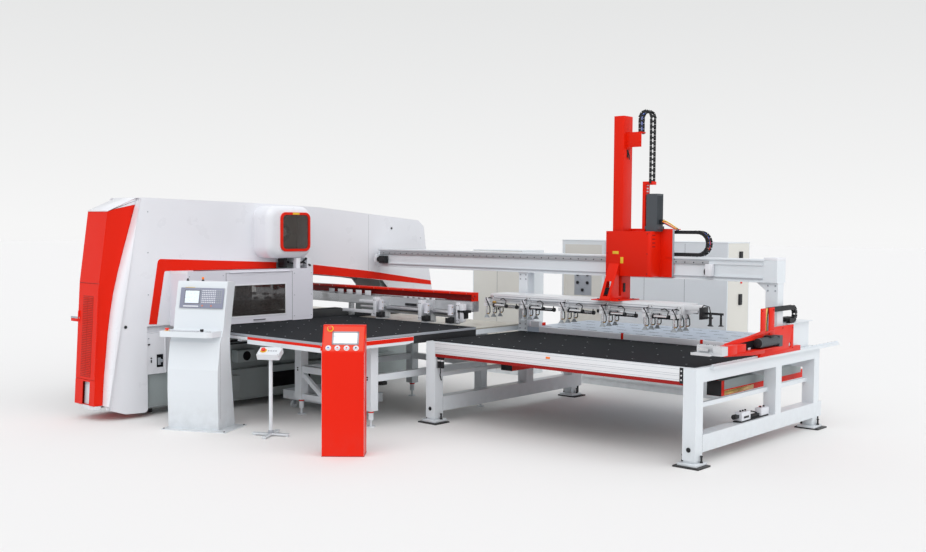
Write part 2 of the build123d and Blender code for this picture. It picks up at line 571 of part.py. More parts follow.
save("console_stop", CONSOLE * mushroom((EYE_S, -60), SHELF_Z[1], 22))
save("console_knob", CONSOLE * (rod((-150, -60), 11, (SHELF_Z[1] - 12, SHELF_Z[1] + 4))
                                + rod((-150, -60), 18, (SHELF_Z[1] + 4, SHELF_Z[1] + 26))))

# Pedestal with a sloped face
PED_TURN = 41
PEDESTAL = Pos(3534, -1782, 0) * Rot(0, 0, PED_TURN)
PED_S = (-388, 0)
PED_FRONT = 958
PED_TOP = 1196
PED_SLOPE_D = 128
pedestal = side_plate([(0, 0), (0, PED_FRONT), (PED_SLOPE_D, PED_TOP, 10), (205, PED_TOP, 10), (220, 0)], PED_S)
face_tilt = math.degrees(math.atan2(PED_SLOPE_D, PED_TOP - PED_FRONT))
face = Pos(0, 0, PED_FRONT) * Rot(90 - face_tilt, 0, 0)
BUTTON_S = (-330, -247, -163, -78)
BUTTON_UP = 42
STOP_SPOT = (-322, 232)
for s in BUTTON_S:
    pedestal -= face * rod((s, BUTTON_UP), 13 + RUNNING, (-14, 2))
pedestal -= face * rod(STOP_SPOT, 11 + RUNNING, (-26, 2))
save("pedestal_body", PEDESTAL * pedestal)
screen = face * block((-300, -55), (75, 205), (0, 4))
save("operator_displays", group(CONSOLE * panel, PEDESTAL * screen))
save("pedestal_stop", PEDESTAL * (face * mushroom(STOP_SPOT, 0, 20)))
for i, s in enumerate(BUTTON_S):
    button = rod((s, BUTTON_UP), 13, (-6, 9)) + rod((s, BUTTON_UP), 18, (7, 11))
    save(f"pedestal_button_{i + 1}", PEDESTAL * (face * button))

# Button stand on a cross foot
STAND = Pos(2130, -1740, 0) * Rot(0, 0, 30)
STAND_TOP = 800
stand = rod((0, 0), 19, (20, STAND_TOP))
stand += block((-190, 190), (-22, 22), (12, 30)) + block((-22, 22), (-190, 190), (12, 30))
for x, y in ((-170, 0), (170, 0), (0, -170), (0, 170)):
    stand += rod((x, y), 16, (0, 12))
box_tilt = Pos(0, -10, STAND_TOP) * Rot(28, 0, 0)
stand_box = block((-115, 115), (-60, 75), (0, 62))
stand_box -= rod((-62, 10), 11 + RUNNING, (38, 62))
save("button_stand", STAND * (stand + box_tilt * stand_box + block((-30, 30), (-35, 20), (770, 812))))
save("stand_stop", STAND * (box_tilt * mushroom((-62, 10), 62, 22)))

# Loader frames: two trestles joined by cross members
LOAD_Y = (LEG_ROWS[0][0], LEG_ROWS[2][1])
DECK_RAIL_Z = (500, 542)
CROSS_LOW = 650
TOP_RAIL = (DECK_TOP - LEG, DECK_TOP)
pieces = []
for legs_x, inner_x in ((LEFT_LEG, (LEFT_LEG[1] - 40, LEFT_LEG[1])), (RIGHT_LEG, (RIGHT_LEG[0], RIGHT_LEG[0] + 40))):
    pieces.append(block(legs_x, LOAD_Y, TOP_RAIL))
    pieces.append(block(legs_x, LEG_ROWS[0], (LEG_BOTTOM, TOP_RAIL[0])))
    pieces.append(block(legs_x, (LEG_ROWS[0][1], 2560), SILL))
    for row in LEG_ROWS[1:]:
        pieces.append(block(legs_x, row, (SILL[1], TOP_RAIL[0])))
    for start, end in ((LEG_ROWS[0][1], LEG_ROWS[1][0]), (LEG_ROWS[1][1], LEG_ROWS[2][0])):
        pieces.append(block(inner_x, (start, end), DECK_RAIL_Z))
between = (LEFT_LEG[1], RIGHT_LEG[0])
for y in ((1465, 1545), (2378, 2458)):
    pieces.append(block(between, y, (CROSS_LOW, TOP_RAIL[0])))
    pieces += [block((x, x + 120), y, (TOP_RAIL[0], DECK_TOP)) for x in (3000, 5300)]
FRONT_FACE = LEG_ROWS[0][0]
FRONT_DEEP = 62
FRONT_LOW = 782
front_beam = block(between, (FRONT_FACE, FRONT_FACE + FRONT_DEEP), (FRONT_LOW, DECK_TOP))
save("loader_frame", group(*pieces, front_beam))
BELT_TOP = DECK_TOP + 7
BELT_X = (LEFT_LEG[0] + 45, RIGHT_LEG[1] - 52)
BELT_FRONT = FRONT_FACE + FRONT_DEEP + 1
belts = [block(BELT_X, (BELT_FRONT, LEG_ROWS[1][0] - PLAY), (DECK_TOP, BELT_TOP))]
belts.append(block(between, (BELT_FRONT, LEG_ROWS[1][0]), (DECK_TOP - 32, DECK_TOP)))
save("loader_belts", group(*belts))
STACK_TOP = 940
STACK_Y = (LEG_ROWS[1][0] + PLAY, 2700)
save("stack_deck", block((2890, 5550), STACK_Y, (DECK_TOP, STACK_TOP)))
under = block(between, (FRONT_FACE + 5, FRONT_FACE + 50), (FRONT_LOW - 60, FRONT_LOW))
RUN_START = 870
RUN_STEP = 580
runs = []
for x in ((3016, 3166), (5600, 5750)):
    runs.append(block(x, (RUN_START, 2740), (DECK_RAIL_Z[0], RUN_STEP)))
    runs.append(block((x[0] + 20, x[1] - 20), (RUN_START, 2600), (RUN_STEP, CROSS_LOW)))
    runs.append(block(x, (RUN_START - 64, RUN_START), (DECK_RAIL_Z[0], CROSS_LOW - 2)))
save("deck_beams", group(under, *runs))

# Gantry: two columns on the trestles and a long rail beam over the press table
RAIL_FACE = (1408, BEAM_Y[0])
GANTRY_RAILS = ((1610, 1632), (1746, 1768))
columns = [block(x, LEG_ROWS[1], (DECK_TOP, BEAM_Z[0])) for x in (LEFT_LEG, RIGHT_LEG)]
beam = block(BEAM_X, BEAM_Y, BEAM_Z)
end_block = block((BEAM_X[1], RIGHT_LEG[1]), (1414, 1606), (BEAM_Z[0], 1826))
gusset = front_plate([(5883, 1580), (5780, 1580), (5883, 1500)], (1440, 1550))
gantry_rails = [block((430, 5860), RAIL_FACE, z) for z in GANTRY_RAILS]
stops = [block((BEAM_X[0], 430), (1340, BEAM_Y[0]), (1640, 1740)), block((5250, 5300), (1395, BEAM_Y[0]), (1640, 1740))]
save("gantry_frame", group(*columns, beam, end_block, gusset, *gantry_rails, *stops))

# Loader carriage: back plate on the gantry rails with the red cover box in front
BOX_X = (4176, 4720)
BOX_Y = (1150, 1372)
BOX_Z = (1600, 2076)
SHEET = 5
BACK_X = (BOX_X[0], 4860)
BACK_SPLIT = 1800
CARRIAGE_TOP = 2104
back_plate = block(BACK_X, (BOX_Y[1], BEAM_Y[0] - RUNNING), (BOX_Z[0] - PLAY, BACK_SPLIT))
for z in GANTRY_RAILS:
    back_plate -= block((4000, 5000), (RAIL_FACE[0] - RUNNING, BEAM_Y[0]), (z[0] - RUNNING, z[1] + RUNNING))
upper_plate = block(BACK_X, (BOX_Y[1], 1400), (BACK_SPLIT, CARRIAGE_TOP))
box_shell = floor_plate([(BOX_X[0], BOX_Y[0]), (BOX_X[1], BOX_Y[0], 35), (BOX_X[1], BOX_Y[1]),
                         (BOX_X[0], BOX_Y[1])], BOX_Z)
box_shell -= floor_plate([(BOX_X[0] + SHEET, BOX_Y[0] + SHEET), (BOX_X[1] - SHEET, BOX_Y[0] + SHEET, 30),
                          (BOX_X[1] - SHEET, BOX_Y[1]), (BOX_X[0] + SHEET, BOX_Y[1])], BOX_Z)
MAST_X = (4227, 4352)
MAST_Y = (1198, 1368)
guide_right = block((MAST_X[1] + RUNNING, MAST_X[1] + 40), (1300, BOX_Y[1]), (1620, 2060))
guide_left = block((BOX_X[0] + SHEET, MAST_X[0] - RUNNING), (1300, BOX_Y[1]), (1620, 2060))
box_lid = block((MAST_X[1] + 40, BOX_X[1] - SHEET), (BOX_Y[0] + SHEET, BOX_Y[1]), (BOX_Z[1] - 20, BOX_Z[1]))
chain_arm = block((BOX_X[1], BACK_X[1]), (1400, 1540), (2094, CARRIAGE_TOP))
TOWER_TOP = 2600
TOWER_Y = (1250, 1330)
tower = block((4560, 4597), TOWER_Y, (BOX_Z[1], TOWER_TOP))
tower_cap = block((4597, 4680), TOWER_Y, (TOWER_TOP - 35, TOWER_TOP))
save("loader_carriage", group(back_plate, upper_plate, box_shell, guide_right, guide_left, box_lid, chain_arm, tower,
                              tower_cap))
MOTOR_Y = (1240, BOX_Y[1] - PLAY)
motor = block((4616, 4744), MOTOR_Y, (BOX_Z[1], 2470)) + block((4600, 4760), MOTOR_Y, (BOX_Z[1] + 24, 2130))
save("carriage_motor", motor)

# Lift mast with its foot and gusset, and the suction frame under it
MAST_TOP = 3300
MAST_Z = (1350, MAST_TOP)
FOOT_Z = (1340, MAST_Z[0])
mast = block(MAST_X, MAST_Y, MAST_Z)
mast_foot = block((4120, 4450), (960, 1400), FOOT_Z)
gusset_line = [(965, MAST_Z[0]), (1144, 1730), (1144, 1385), (MAST_Y[0], 1385), (MAST_Y[0], MAST_Z[0])]
mast_gussets = [side_plate(gusset_line, x) for x in ((MAST_X[0], MAST_X[0] + 8), (MAST_X[1] - 8, MAST_X[1]))]
slope_len = math.hypot(1144 - 965, 1730 - MAST_Z[0])
slope_turn = math.degrees(math.atan2(1144 - 965, 1730 - MAST_Z[0]))
front_strip = block((MAST_X[0], MAST_X[1]), (-6, 0), (0, slope_len)) - block((4262, 4317), (-6, 0), (40, 210))
front_strip = Pos(0, 965, MAST_Z[0]) * Rot(-slope_turn, 0, 0) * front_strip
SHELF_TOP = MAST_TOP - 175
SHELF_LOW = SHELF_TOP - 15
chain_shelf = block((MAST_X[1], 4540), (1240, 1330), (SHELF_LOW, SHELF_TOP))
chain_shelf += block((MAST_X[1], MAST_X[1] + 20), (1240, 1330), (SHELF_LOW - 160, SHELF_LOW))
save("lift_mast", group(mast, mast_foot, *mast_gussets, front_strip, chain_shelf))

FRAME_X = (2640, 5160)
FRAME_Y = (1070, 1390)
FRAME_Z = (1235, FOOT_Z[0])
ARM_X = (2665, 3197, 3731, 4270, 4794, 5130)
ARM_Y = (930, 1262)
ARM_Z = (1200, FRAME_Z[0])
CUP_Y = (965, 1085, 1205)
LIP_Z = 1065
spreader = block(FRAME_X, FRAME_Y, FRAME_Z)
arms = [block((x - 20, x + 20), ARM_Y, ARM_Z) for x in ARM_X]
save("suction_frame", group(spreader, *arms))
cups = []
for x in ARM_X:
    for y in CUP_Y:
        stem = rod((x, y), 7, (LIP_Z + 30, ARM_Z[0]))
        cups.append(stem + Pos(x, y, LIP_Z + 15) * Cone(34, 12, 30))
save("suction_cups", group(*cups))


# Cable chains: bands that run out, turn round and come back
CHAIN_THICK = 50


def chain(across, start, turn_at, back_to, outer, radius):
    """Chain in the (u, v) plane: u is the run, v the height of the outer run, made as thick as across."""
    low = outer - 2 * radius
    inner = radius - CHAIN_THICK
    out = block((start, turn_at), across, (outer - CHAIN_THICK, outer))
    back = block((back_to, turn_at), across, (low, low + CHAIN_THICK))
    bend = rod_y((turn_at, outer - radius), radius, across) - rod_y((turn_at, outer - radius), inner, across)
    bend -= block((turn_at - radius - 10, turn_at), across, (low - 10, outer + 10))
    return out + back + bend


TOP_LOOP = SHELF_TOP + 237
LOOP_R = 95
LOOP_MID = TOP_LOOP - LOOP_R
upright = Pos(4585, 0, LOOP_MID) * Rot(0, -90, 0)
loop = chain((1245, 1325), SHELF_TOP - LOOP_MID, 0, TOWER_TOP - LOOP_MID, LOOP_R, LOOP_R)
save("mast_chain", upright * loop)
BEND_R = 142
save("gantry_chain", chain((1440, 1520), 4780, 5114, 4820, BEAM_Z[1] + 2 * BEND_R, BEND_R))

# Transfer unit on the outer face of the right trestle: rail, arm, gripper, motor and chain
T_RAIL_Y = (100, 2900)
T_BED_X = (RIGHT_LEG[1], RIGHT_LEG[1] + 42)
T_BAR_X = (T_BED_X[0] + 14, T_BED_X[0] + 26)
T_BED_Z = (858, 884)
BAR_TOP = 900
rail_bed = block(T_BED_X, T_RAIL_Y, T_BED_Z) + block(T_BAR_X, T_RAIL_Y, (T_BED_Z[1], BAR_TOP))
PLATE_X = (6056, 6068)
CHAIN_X = (6014, 6054)
BOX_SHELF = 1165
BOX_ALONG = (LEG_ROWS[1][1] + 71, 2200)
BOX_LEFT = RIGHT_LEG[0] + 17
tray_box = block((BOX_LEFT, RIGHT_LEG[1] - 4), BOX_ALONG, (DECK_TOP, BOX_SHELF))
tray_shelf = block((BOX_LEFT, CHAIN_X[1]), BOX_ALONG, (BOX_SHELF, BOX_SHELF + 5))
save("transfer_rail", group(rail_bed, tray_box, tray_shelf))
slide = block((T_BED_X[0] + 4, PLATE_X[0]), (980, 1900), (T_BED_Z[1] + RUNNING, 935))
slide -= block((T_BAR_X[0] - RUNNING, T_BAR_X[1] + RUNNING), (900, 2000), (T_BED_Z[1], BAR_TOP + RUNNING))
angle_plate = side_plate([(980, 900), (980, 1353, 8), (1262, 1353, 8), (1262, 1160), (1700, 1160, 10),
                          (1700, 900)], PLATE_X)
angle_plate -= block(PLATE_X, (1075, 1150), (1100, 1353))
angle_plate -= rod_x((1620, 960), 26, PLATE_X)
chain_lug = block((CHAIN_X[0], PLATE_X[0]), (1180, 1262), (1353 - 62, 1353 - 50))
ARM_X0 = PLATE_X[1]
SIDE = (ARM_X0, ARM_X0 + 8)
arm_line = [(150, 985, 30), (150, 1060, 30), (420, 1095), (1262, 1140), (1262, 985)]
arm_gap = [(330, 1000), (330, 1070), (1150, 1110), (1150, 1000)]
arm_side = side_plate(arm_line, SIDE) - side_plate(arm_gap, SIDE)
arm_low = block((SIDE[1], ARM_X0 + 88), (165, 1250), (978, 985))
arm_nose = block((SIDE[1], ARM_X0 + 88), (150, 330), (985, 1068))
gear_box = block((SIDE[1] + 2, ARM_X0 + 78), (345, 520), (985, 1060))
save("transfer_arm", group(slide, angle_plate, chain_lug, arm_side, arm_low, arm_nose, gear_box))
MOTOR_LINE = (SIDE[1] + 46, 1042)
drive = rod_y(MOTOR_LINE, 44, (800, 1180)) + block((SIDE[1] + 2, ARM_X0 + 94), (1180, 1250), (985, 1090))
save("transfer_motor", drive)
jaw_low = block((5880, ARM_X0), (-20, 150), (985, 1010)) + block((ARM_X0, ARM_X0 + 88), (40, 150), (985, 1065))
save("transfer_gripper", jaw_low + block((5880, ARM_X0), (90, 150), (1010, 1070)))
T_CHAIN_R = (1353 - BOX_SHELF - 5) / 2
sweep_x = (-CHAIN_X[1], -CHAIN_X[0])
save("transfer_chain", Rot(0, 0, 90) * chain(sweep_x, 1200, 1722, 1660, 1353, T_CHAIN_R))

# Electrical cabinets behind, with a hinged door
CAB_X = (1950, 4440)
CAB_FRONT = 3400
CAB_DEEP = 580
CAB_Y = (CAB_FRONT, CAB_FRONT + CAB_DEEP)
CAB_TOP = 1940
shell = block(CAB_X, CAB_Y, (100, CAB_TOP)) - block((2004, 2596), (CAB_Y[0], CAB_Y[1] - 30), (160, CAB_TOP - 60))
plinth = block((CAB_X[0] + 20, CAB_X[1] - 20), (CAB_Y[0] + 30, CAB_Y[1] - 20), (0, 100))
low_cab = block((330, 1250), (CAB_FRONT, CAB_FRONT + 500), (0, 1780))
DOOR_SPAN = (2000, 2600)
BIG_DOOR_Z = (156, CAB_TOP - 56)
DOOR_FACE = CAB_Y[0] - RUNNING - 3
BIG_PIN = (DOOR_SPAN[0] - 8, CAB_Y[0] - 10)
BIG_PIN_Z = shrink(BIG_DOOR_Z, 60)
big_hinge = rod(BIG_PIN, PIN_R, BIG_PIN_Z)
for run in knuckle_runs(*BIG_PIN_Z, True):
    big_hinge += rod(BIG_PIN, 6, run) + block((BIG_PIN[0] - 8, BIG_PIN[0] + 4), (BIG_PIN[1], CAB_Y[0]), run)
save("electrical_cabinet", group(shell, plinth, low_cab, big_hinge))
big_door = block(DOOR_SPAN, (DOOR_FACE, CAB_Y[0] - RUNNING), BIG_DOOR_Z)
for run in knuckle_runs(*BIG_PIN_Z, False):
    leaf = rod(BIG_PIN, 6, run) + block((BIG_PIN[0], DOOR_SPAN[0] + 30), (DOOR_FACE - 3, DOOR_FACE), run)
    big_door += leaf - rod(BIG_PIN, PIN_R + FIT, run)
save("cabinet_door", big_door)
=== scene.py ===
import json
import math

import bmesh
import bpy
from mathutils import Matrix, Vector

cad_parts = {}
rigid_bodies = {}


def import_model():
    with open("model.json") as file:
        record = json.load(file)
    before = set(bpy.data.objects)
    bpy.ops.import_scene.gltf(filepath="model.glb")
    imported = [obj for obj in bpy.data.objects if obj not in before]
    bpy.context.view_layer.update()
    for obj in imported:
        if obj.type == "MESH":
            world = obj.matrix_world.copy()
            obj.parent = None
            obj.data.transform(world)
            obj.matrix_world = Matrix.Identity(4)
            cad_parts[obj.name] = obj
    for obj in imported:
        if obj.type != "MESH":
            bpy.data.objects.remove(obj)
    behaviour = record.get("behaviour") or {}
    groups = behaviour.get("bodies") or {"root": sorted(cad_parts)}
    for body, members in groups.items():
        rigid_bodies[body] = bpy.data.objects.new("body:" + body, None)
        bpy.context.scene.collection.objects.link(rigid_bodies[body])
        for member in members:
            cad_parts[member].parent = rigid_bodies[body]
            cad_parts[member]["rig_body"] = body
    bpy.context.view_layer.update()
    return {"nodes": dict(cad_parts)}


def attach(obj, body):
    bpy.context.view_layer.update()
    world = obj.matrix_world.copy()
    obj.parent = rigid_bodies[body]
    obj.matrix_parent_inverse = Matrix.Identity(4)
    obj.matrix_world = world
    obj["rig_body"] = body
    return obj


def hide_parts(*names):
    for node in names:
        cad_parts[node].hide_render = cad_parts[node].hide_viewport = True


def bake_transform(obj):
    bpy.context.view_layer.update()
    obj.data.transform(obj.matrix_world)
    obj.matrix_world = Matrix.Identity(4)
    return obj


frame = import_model()
NODES = frame["nodes"]


# finishes


def shader_group(name, inputs, outputs):
    """New shader group with its sockets, and its in and out nodes."""
    tree = bpy.data.node_groups.new(name, "ShaderNodeTree")
    for label, kind, value in inputs:
        socket = tree.interface.new_socket(name=label, in_out="INPUT", socket_type=kind)
        socket.default_value = value
    for label, kind in outputs:
        tree.interface.new_socket(name=label, in_out="OUTPUT", socket_type=kind)
    start = tree.nodes.new("NodeGroupInput")
    end = tree.nodes.new("NodeGroupOutput")
    return tree, start, end


def feed(tree, node, values):
    """Give a node's inputs, by name or place, what links to them or a plain value."""
    for label, value in values.items():
        if hasattr(value, "links"):
            tree.links.new(value, node.inputs[label])
        else:
            node.inputs[label].default_value = value
    return node


def noise(tree, at, scale, detail=3.0, rough=0.55):
    """Noise texture read at the given coordinates."""
    n = tree.nodes.new("ShaderNodeTexNoise")
    feed(tree, n, {"Vector": at, "Scale": scale, "Detail": detail, "Roughness": rough})
    return n.outputs["Fac"]


def spread(tree, value, low, high, to_low, to_high):
    """Map a value from one range to another, held at its ends."""
    n = tree.nodes.new("ShaderNodeMapRange")
    feed(tree, n, {"Value": value, "From Min": low, "From Max": high, "To Min": to_low, "To Max": to_high})
    return n.outputs["Result"]


def sums(tree, kind, a, b):
    """One sum of two values or sockets."""
    n = tree.nodes.new("ShaderNodeMath")
    n.operation = kind
    return feed(tree, n, {0: a, 1: b}).outputs[0]


def blend_colour(tree, factor, a, b):
    """Mix of two colours or sockets by a factor."""
    n = tree.nodes.new("ShaderNodeMix")
    n.data_type = "RGBA"
    a, b = (v if hasattr(v, "links") else (*v, 1) for v in (a, b))
    return feed(tree, n, {"Factor": factor, "A": a, "B": b}).outputs["Result"]


def paint_film():
    """Sprayed paint: slow change of tone, orange peel, dust on what faces up, soil near the floor."""
    tree, start, end = shader_group("paint_film", [("Colour", "NodeSocketColor", (0.8, 0.8, 0.8, 1)),
            ("Dust", "NodeSocketFloat", 0.15), ("Soil", "NodeSocketFloat", 0.3),
            ("Gloss", "NodeSocketFloat", 0.35)], [("Colour", "NodeSocketColor"),
            ("Roughness", "NodeSocketFloat"), ("Height", "NodeSocketFloat")])
    at = tree.nodes.new("ShaderNodeTexCoord").outputs["Object"]
    tone = spread(tree, noise(tree, at, 0.9, 2), 0.3, 0.7, 0.0, 1.0)
    darker = tree.nodes.new("ShaderNodeHueSaturation")
    darker.inputs["Value"].default_value = 0.965
    tree.links.new(start.outputs["Colour"], darker.inputs["Color"])
    base = blend_colour(tree, tone, darker.outputs["Color"], start.outputs["Colour"])
    facing = tree.nodes.new("ShaderNodeSeparateXYZ")
    tree.links.new(tree.nodes.new("ShaderNodeNewGeometry").outputs["Normal"], facing.inputs[0])
    upward = spread(tree, facing.outputs["Z"], 0.6, 1.0, 0.0, start.outputs["Dust"])
    dusty = sums(tree, "MULTIPLY", upward, spread(tree, noise(tree, at, 5, 5), 0.35, 0.65, 0.3, 1.0))
    base = blend_colour(tree, dusty, base, (0.42, 0.41, 0.39))
    place = tree.nodes.new("ShaderNodeSeparateXYZ")
    tree.links.new(at, place.inputs[0])
    low = spread(tree, place.outputs["Z"], 0.02, 0.35, start.outputs["Soil"], 0.0)
    low = sums(tree, "MULTIPLY", low, spread(tree, noise(tree, at, 11, 6), 0.35, 0.7, 0.2, 1.0))
    base = blend_colour(tree, low, base, (0.2, 0.19, 0.175))
    tree.links.new(base, end.inputs["Colour"])
    smear = spread(tree, noise(tree, at, 3.5, 4), 0.3, 0.7, -0.05, 0.09)
    rough = sums(tree, "ADD", start.outputs["Gloss"], smear)
    tree.links.new(sums(tree, "ADD", rough, sums(tree, "MULTIPLY", dusty, 1.2)), end.inputs["Roughness"])
    tree.links.new(noise(tree, at, 260, 1), end.inputs["Height"])
    return tree


def machined_grain():
    """Ground or rolled metal: long fine lines along one axis, and faint oil stains."""
    tree, start, end = shader_group("machined_grain",
            [("Colour", "NodeSocketColor", (0.6, 0.6, 0.6, 1)),
             ("Stretch", "NodeSocketVector", (6, 220, 220)), ("Stain", "NodeSocketFloat", 0.25),
             ("Gloss", "NodeSocketFloat", 0.3)], [("Colour", "NodeSocketColor"),
            ("Roughness", "NodeSocketFloat"), ("Height", "NodeSocketFloat")])
    at = tree.nodes.new("ShaderNodeTexCoord").outputs["Object"]
    pulled = tree.nodes.new("ShaderNodeVectorMath")
    pulled.operation = "MULTIPLY"
    tree.links.new(at, pulled.inputs[0])
    tree.links.new(start.outputs["Stretch"], pulled.inputs[1])
    lines = noise(tree, pulled.outputs[0], 1.0, 4, 0.6)
    stains = spread(tree, noise(tree, at, 7, 5), 0.5, 0.75, 0.0, start.outputs["Stain"])
    pale = tree.nodes.new("ShaderNodeHueSaturation")
    pale.inputs["Value"].default_value = 0.82
    tree.links.new(start.outputs["Colour"], pale.inputs["Color"])
    base = blend_colour(tree, spread(tree, lines, 0.35, 0.65, 0.0, 1.0), pale.outputs["Color"],
                        start.outputs["Colour"])
    base = blend_colour(tree, stains, base, (0.16, 0.145, 0.12))
    tree.links.new(base, end.inputs["Colour"])
    rough = sums(tree, "ADD", start.outputs["Gloss"], spread(tree, lines, 0.3, 0.7, -0.06, 0.1))
    tree.links.new(sums(tree, "ADD", rough, sums(tree, "MULTIPLY", stains, 0.5)), end.inputs["Roughness"])
    tree.links.new(lines, end.inputs["Height"])
    return tree


def moulded_skin():
    """Moulded plastic or rubber: fine pebble with pale scuffs."""
    tree, start, end = shader_group("moulded_skin",
            [("Colour", "NodeSocketColor", (0.1, 0.1, 0.1, 1)), ("Pebble", "NodeSocketFloat", 500.0),
             ("Scuff", "NodeSocketFloat", 0.12), ("Gloss", "NodeSocketFloat", 0.5)],
            [("Colour", "NodeSocketColor"), ("Roughness", "NodeSocketFloat"),
             ("Height", "NodeSocketFloat")])
    at = tree.nodes.new("ShaderNodeTexCoord").outputs["Object"]
    scuffs = spread(tree, noise(tree, at, 26, 7, 0.7), 0.56, 0.72, 0.0, start.outputs["Scuff"])
    base = blend_colour(tree, scuffs, start.outputs["Colour"], (0.5, 0.5, 0.5))
    tree.links.new(base, end.inputs["Colour"])
    tree.links.new(sums(tree, "ADD", start.outputs["Gloss"], scuffs), end.inputs["Roughness"])
    grain = tree.nodes.new("ShaderNodeTexVoronoi")
    tree.links.new(at, grain.inputs["Vector"])
    tree.links.new(start.outputs["Pebble"], grain.inputs["Scale"])
    tree.links.new(grain.outputs["Distance"], end.inputs["Height"])
    return tree


PAINT = paint_film()
GRAIN = machined_grain()
SKIN = moulded_skin()


def finish(name, group, colour, slot, bump=0.02, metal=0.0, coat=0.0, shine=0.5, **values):
    """Material made of one shared group with its own values."""
    m = bpy.data.materials.new(name)
    m.use_nodes = True
    tree = m.node_tree
    bsdf = tree.nodes["Principled BSDF"]
    film = tree.nodes.new("ShaderNodeGroup")
    film.node_tree = group
    feed(tree, film, {"Colour": (*colour, 1), **values})
    relief = tree.nodes.new("ShaderNodeBump")
    feed(tree, relief, {"Strength": bump, "Distance": 0.0004, "Height": film.outputs["Height"]})
    feed(tree, bsdf, {"Base Color": film.outputs["Colour"], "Roughness": film.outputs["Roughness"],
                      "Metallic": metal, "Coat Weight": coat, "Coat Roughness": 0.12,
                      "Specular IOR Level": shine, "Normal": relief.outputs["Normal"]})
    m.diffuse_color = (*colour, 1)
    m["slot"] = slot
    return m


def glass_sheet(name, colour, clear, slot):
    """Tinted pane with a faint film of dirt in its gloss."""
    m = bpy.data.materials.new(name)
    m.use_nodes = True
    tree = m.node_tree
    bsdf = tree.nodes["Principled BSDF"]
    bsdf.inputs["Base Color"].default_value = (*colour, 1)
    bsdf.inputs["Alpha"].default_value = 1 - clear
    at = tree.nodes.new("ShaderNodeTexCoord").outputs["Object"]
    film = spread(tree, noise(tree, at, 4, 4), 0.4, 0.7, 0.05, 0.16)
    tree.links.new(film, bsdf.inputs["Roughness"])
    m["slot"] = slot
    return m


def lit_screen(name, colour, lines):
    """Display face: a plain layout of pale fields and darker bars."""
    m = bpy.data.materials.new(name)
    m.use_nodes = True
    tree = m.node_tree
    bsdf = tree.nodes["Principled BSDF"]
    at = tree.nodes.new("ShaderNodeTexCoord").outputs["Object"]
    rows = tree.nodes.new("ShaderNodeTexWave")
    rows.bands_direction = "Z"
    rows.inputs["Scale"].default_value = lines
    tree.links.new(at, rows.inputs["Vector"])
    faint = sums(tree, "MULTIPLY", spread(tree, rows.outputs["Fac"], 0.8, 0.95, 0.0, 1.0),
                 spread(tree, noise(tree, at, lines * 3, 3), 0.5, 0.56, 0.0, 0.5))
    field = blend_colour(tree, faint, colour, (0.16, 0.24, 0.34))
    tree.links.new(field, bsdf.inputs["Base Color"])
    tree.links.new(field, bsdf.inputs["Emission Color"])
    bsdf.inputs["Emission Strength"].default_value = 0.35
    bsdf.inputs["Roughness"].default_value = 0.18
    m["slot"] = "grey_plastic"
    return m


WHITE = finish("white_cover_paint", PAINT, (0.82, 0.83, 0.862), slot="white_paint", coat=0.2, shine=0.4,
               Dust=0.02, Soil=0.04, Gloss=0.3)
RED = finish("red_cover_paint", PAINT, (0.78, 0.016, 0.003), slot="red_paint", coat=0.05, shine=0.12,
             Dust=0.02, Soil=0.06, Gloss=0.36)
# Dark red paint, also used as painted shade where red parts sit in shade: the hood's inner back wall, the
# carriage cover slots and the loader's underside trim.
DARK_RED = finish("dark_red_paint_and_painted_shade", PAINT, (0.33, 0.012, 0.01), slot="red_paint", shine=0.2, Dust=0.05,
                  Soil=0.1, Gloss=0.45)
# Grey-green base paint, set lighter than its own colour: painted light that makes up for the shade under the
# tables.
BASE = finish("grey_green_base_paint_with_painted_light", PAINT, (0.33, 0.375, 0.375), slot="base_paint", Dust=0.15, Soil=0.25,
              Gloss=0.45)
FRAME = finish("pale_frame_paint", PAINT, (0.76, 0.805, 0.835), slot="frame_paint", coat=0.15, shine=0.4,
               Dust=0.04, Soil=0.2, Gloss=0.34)
LAVENDER = finish("guard_paint", PAINT, (0.76, 0.76, 0.82), slot="white_paint", coat=0.15, shine=0.4,
                  Dust=0.04, Soil=0.05, Gloss=0.34)
BEIGE = finish("beige_cabinet_paint", PAINT, (0.7, 0.69, 0.635), slot="beige_paint", Dust=0.05, Soil=0.2,
               Gloss=0.4)
PALE_BLUE = finish("pale_cabinet_paint", PAINT, (0.76, 0.8, 0.82), slot="beige_paint", Dust=0.05, Soil=0.2,
                   Gloss=0.4)
DECK = finish("blue_grey_deck_paint", PAINT, (0.47, 0.54, 0.63), slot="deck_blue", Dust=0.05, Soil=0.0,
              Gloss=0.36)
MOTOR = finish("motor_paint", PAINT, (0.06, 0.07, 0.08), slot="motor_grey", Dust=0.2, Soil=0.0, Gloss=0.42)
BLACK_STEEL = finish("black_steel", PAINT, (0.022, 0.023, 0.026), slot="black_steel", shine=0.25, Dust=0.12,
                     Soil=0.15, Gloss=0.42)
YELLOW = finish("yellow_paint", PAINT, (0.83, 0.55, 0.02), slot="grey_plastic", Dust=0.02, Soil=0.0,
                Gloss=0.35)
BEIGE_STEEL = finish("rolled_deck_steel", GRAIN, (0.56, 0.53, 0.46), slot="beige_steel", metal=0.35,
                     Stain=0.2, Gloss=0.36)
STEEL = finish("ground_steel", GRAIN, (0.52, 0.53, 0.55), slot="steel", metal=1.0, Stain=0.3, Gloss=0.28)
BRIGHT = finish("chromed_rod", GRAIN, (0.72, 0.73, 0.75), slot="steel", metal=1.0, Stain=0.1, Gloss=0.16)
ALUMINIUM = finish("aluminium_profile", GRAIN, (0.72, 0.74, 0.76), slot="aluminium", metal=0.5, Stain=0.08,
                   Gloss=0.34)
BRASS = finish("brass", GRAIN, (0.62, 0.4, 0.13), slot="steel", metal=1.0, Stain=0.3, Gloss=0.25)
BRUSH = finish("brush_bristle", SKIN, (0.018, 0.02, 0.023), slot="brush_black", bump=0.4, shine=0.05,
               Pebble=700, Scuff=0.02, Gloss=0.75)
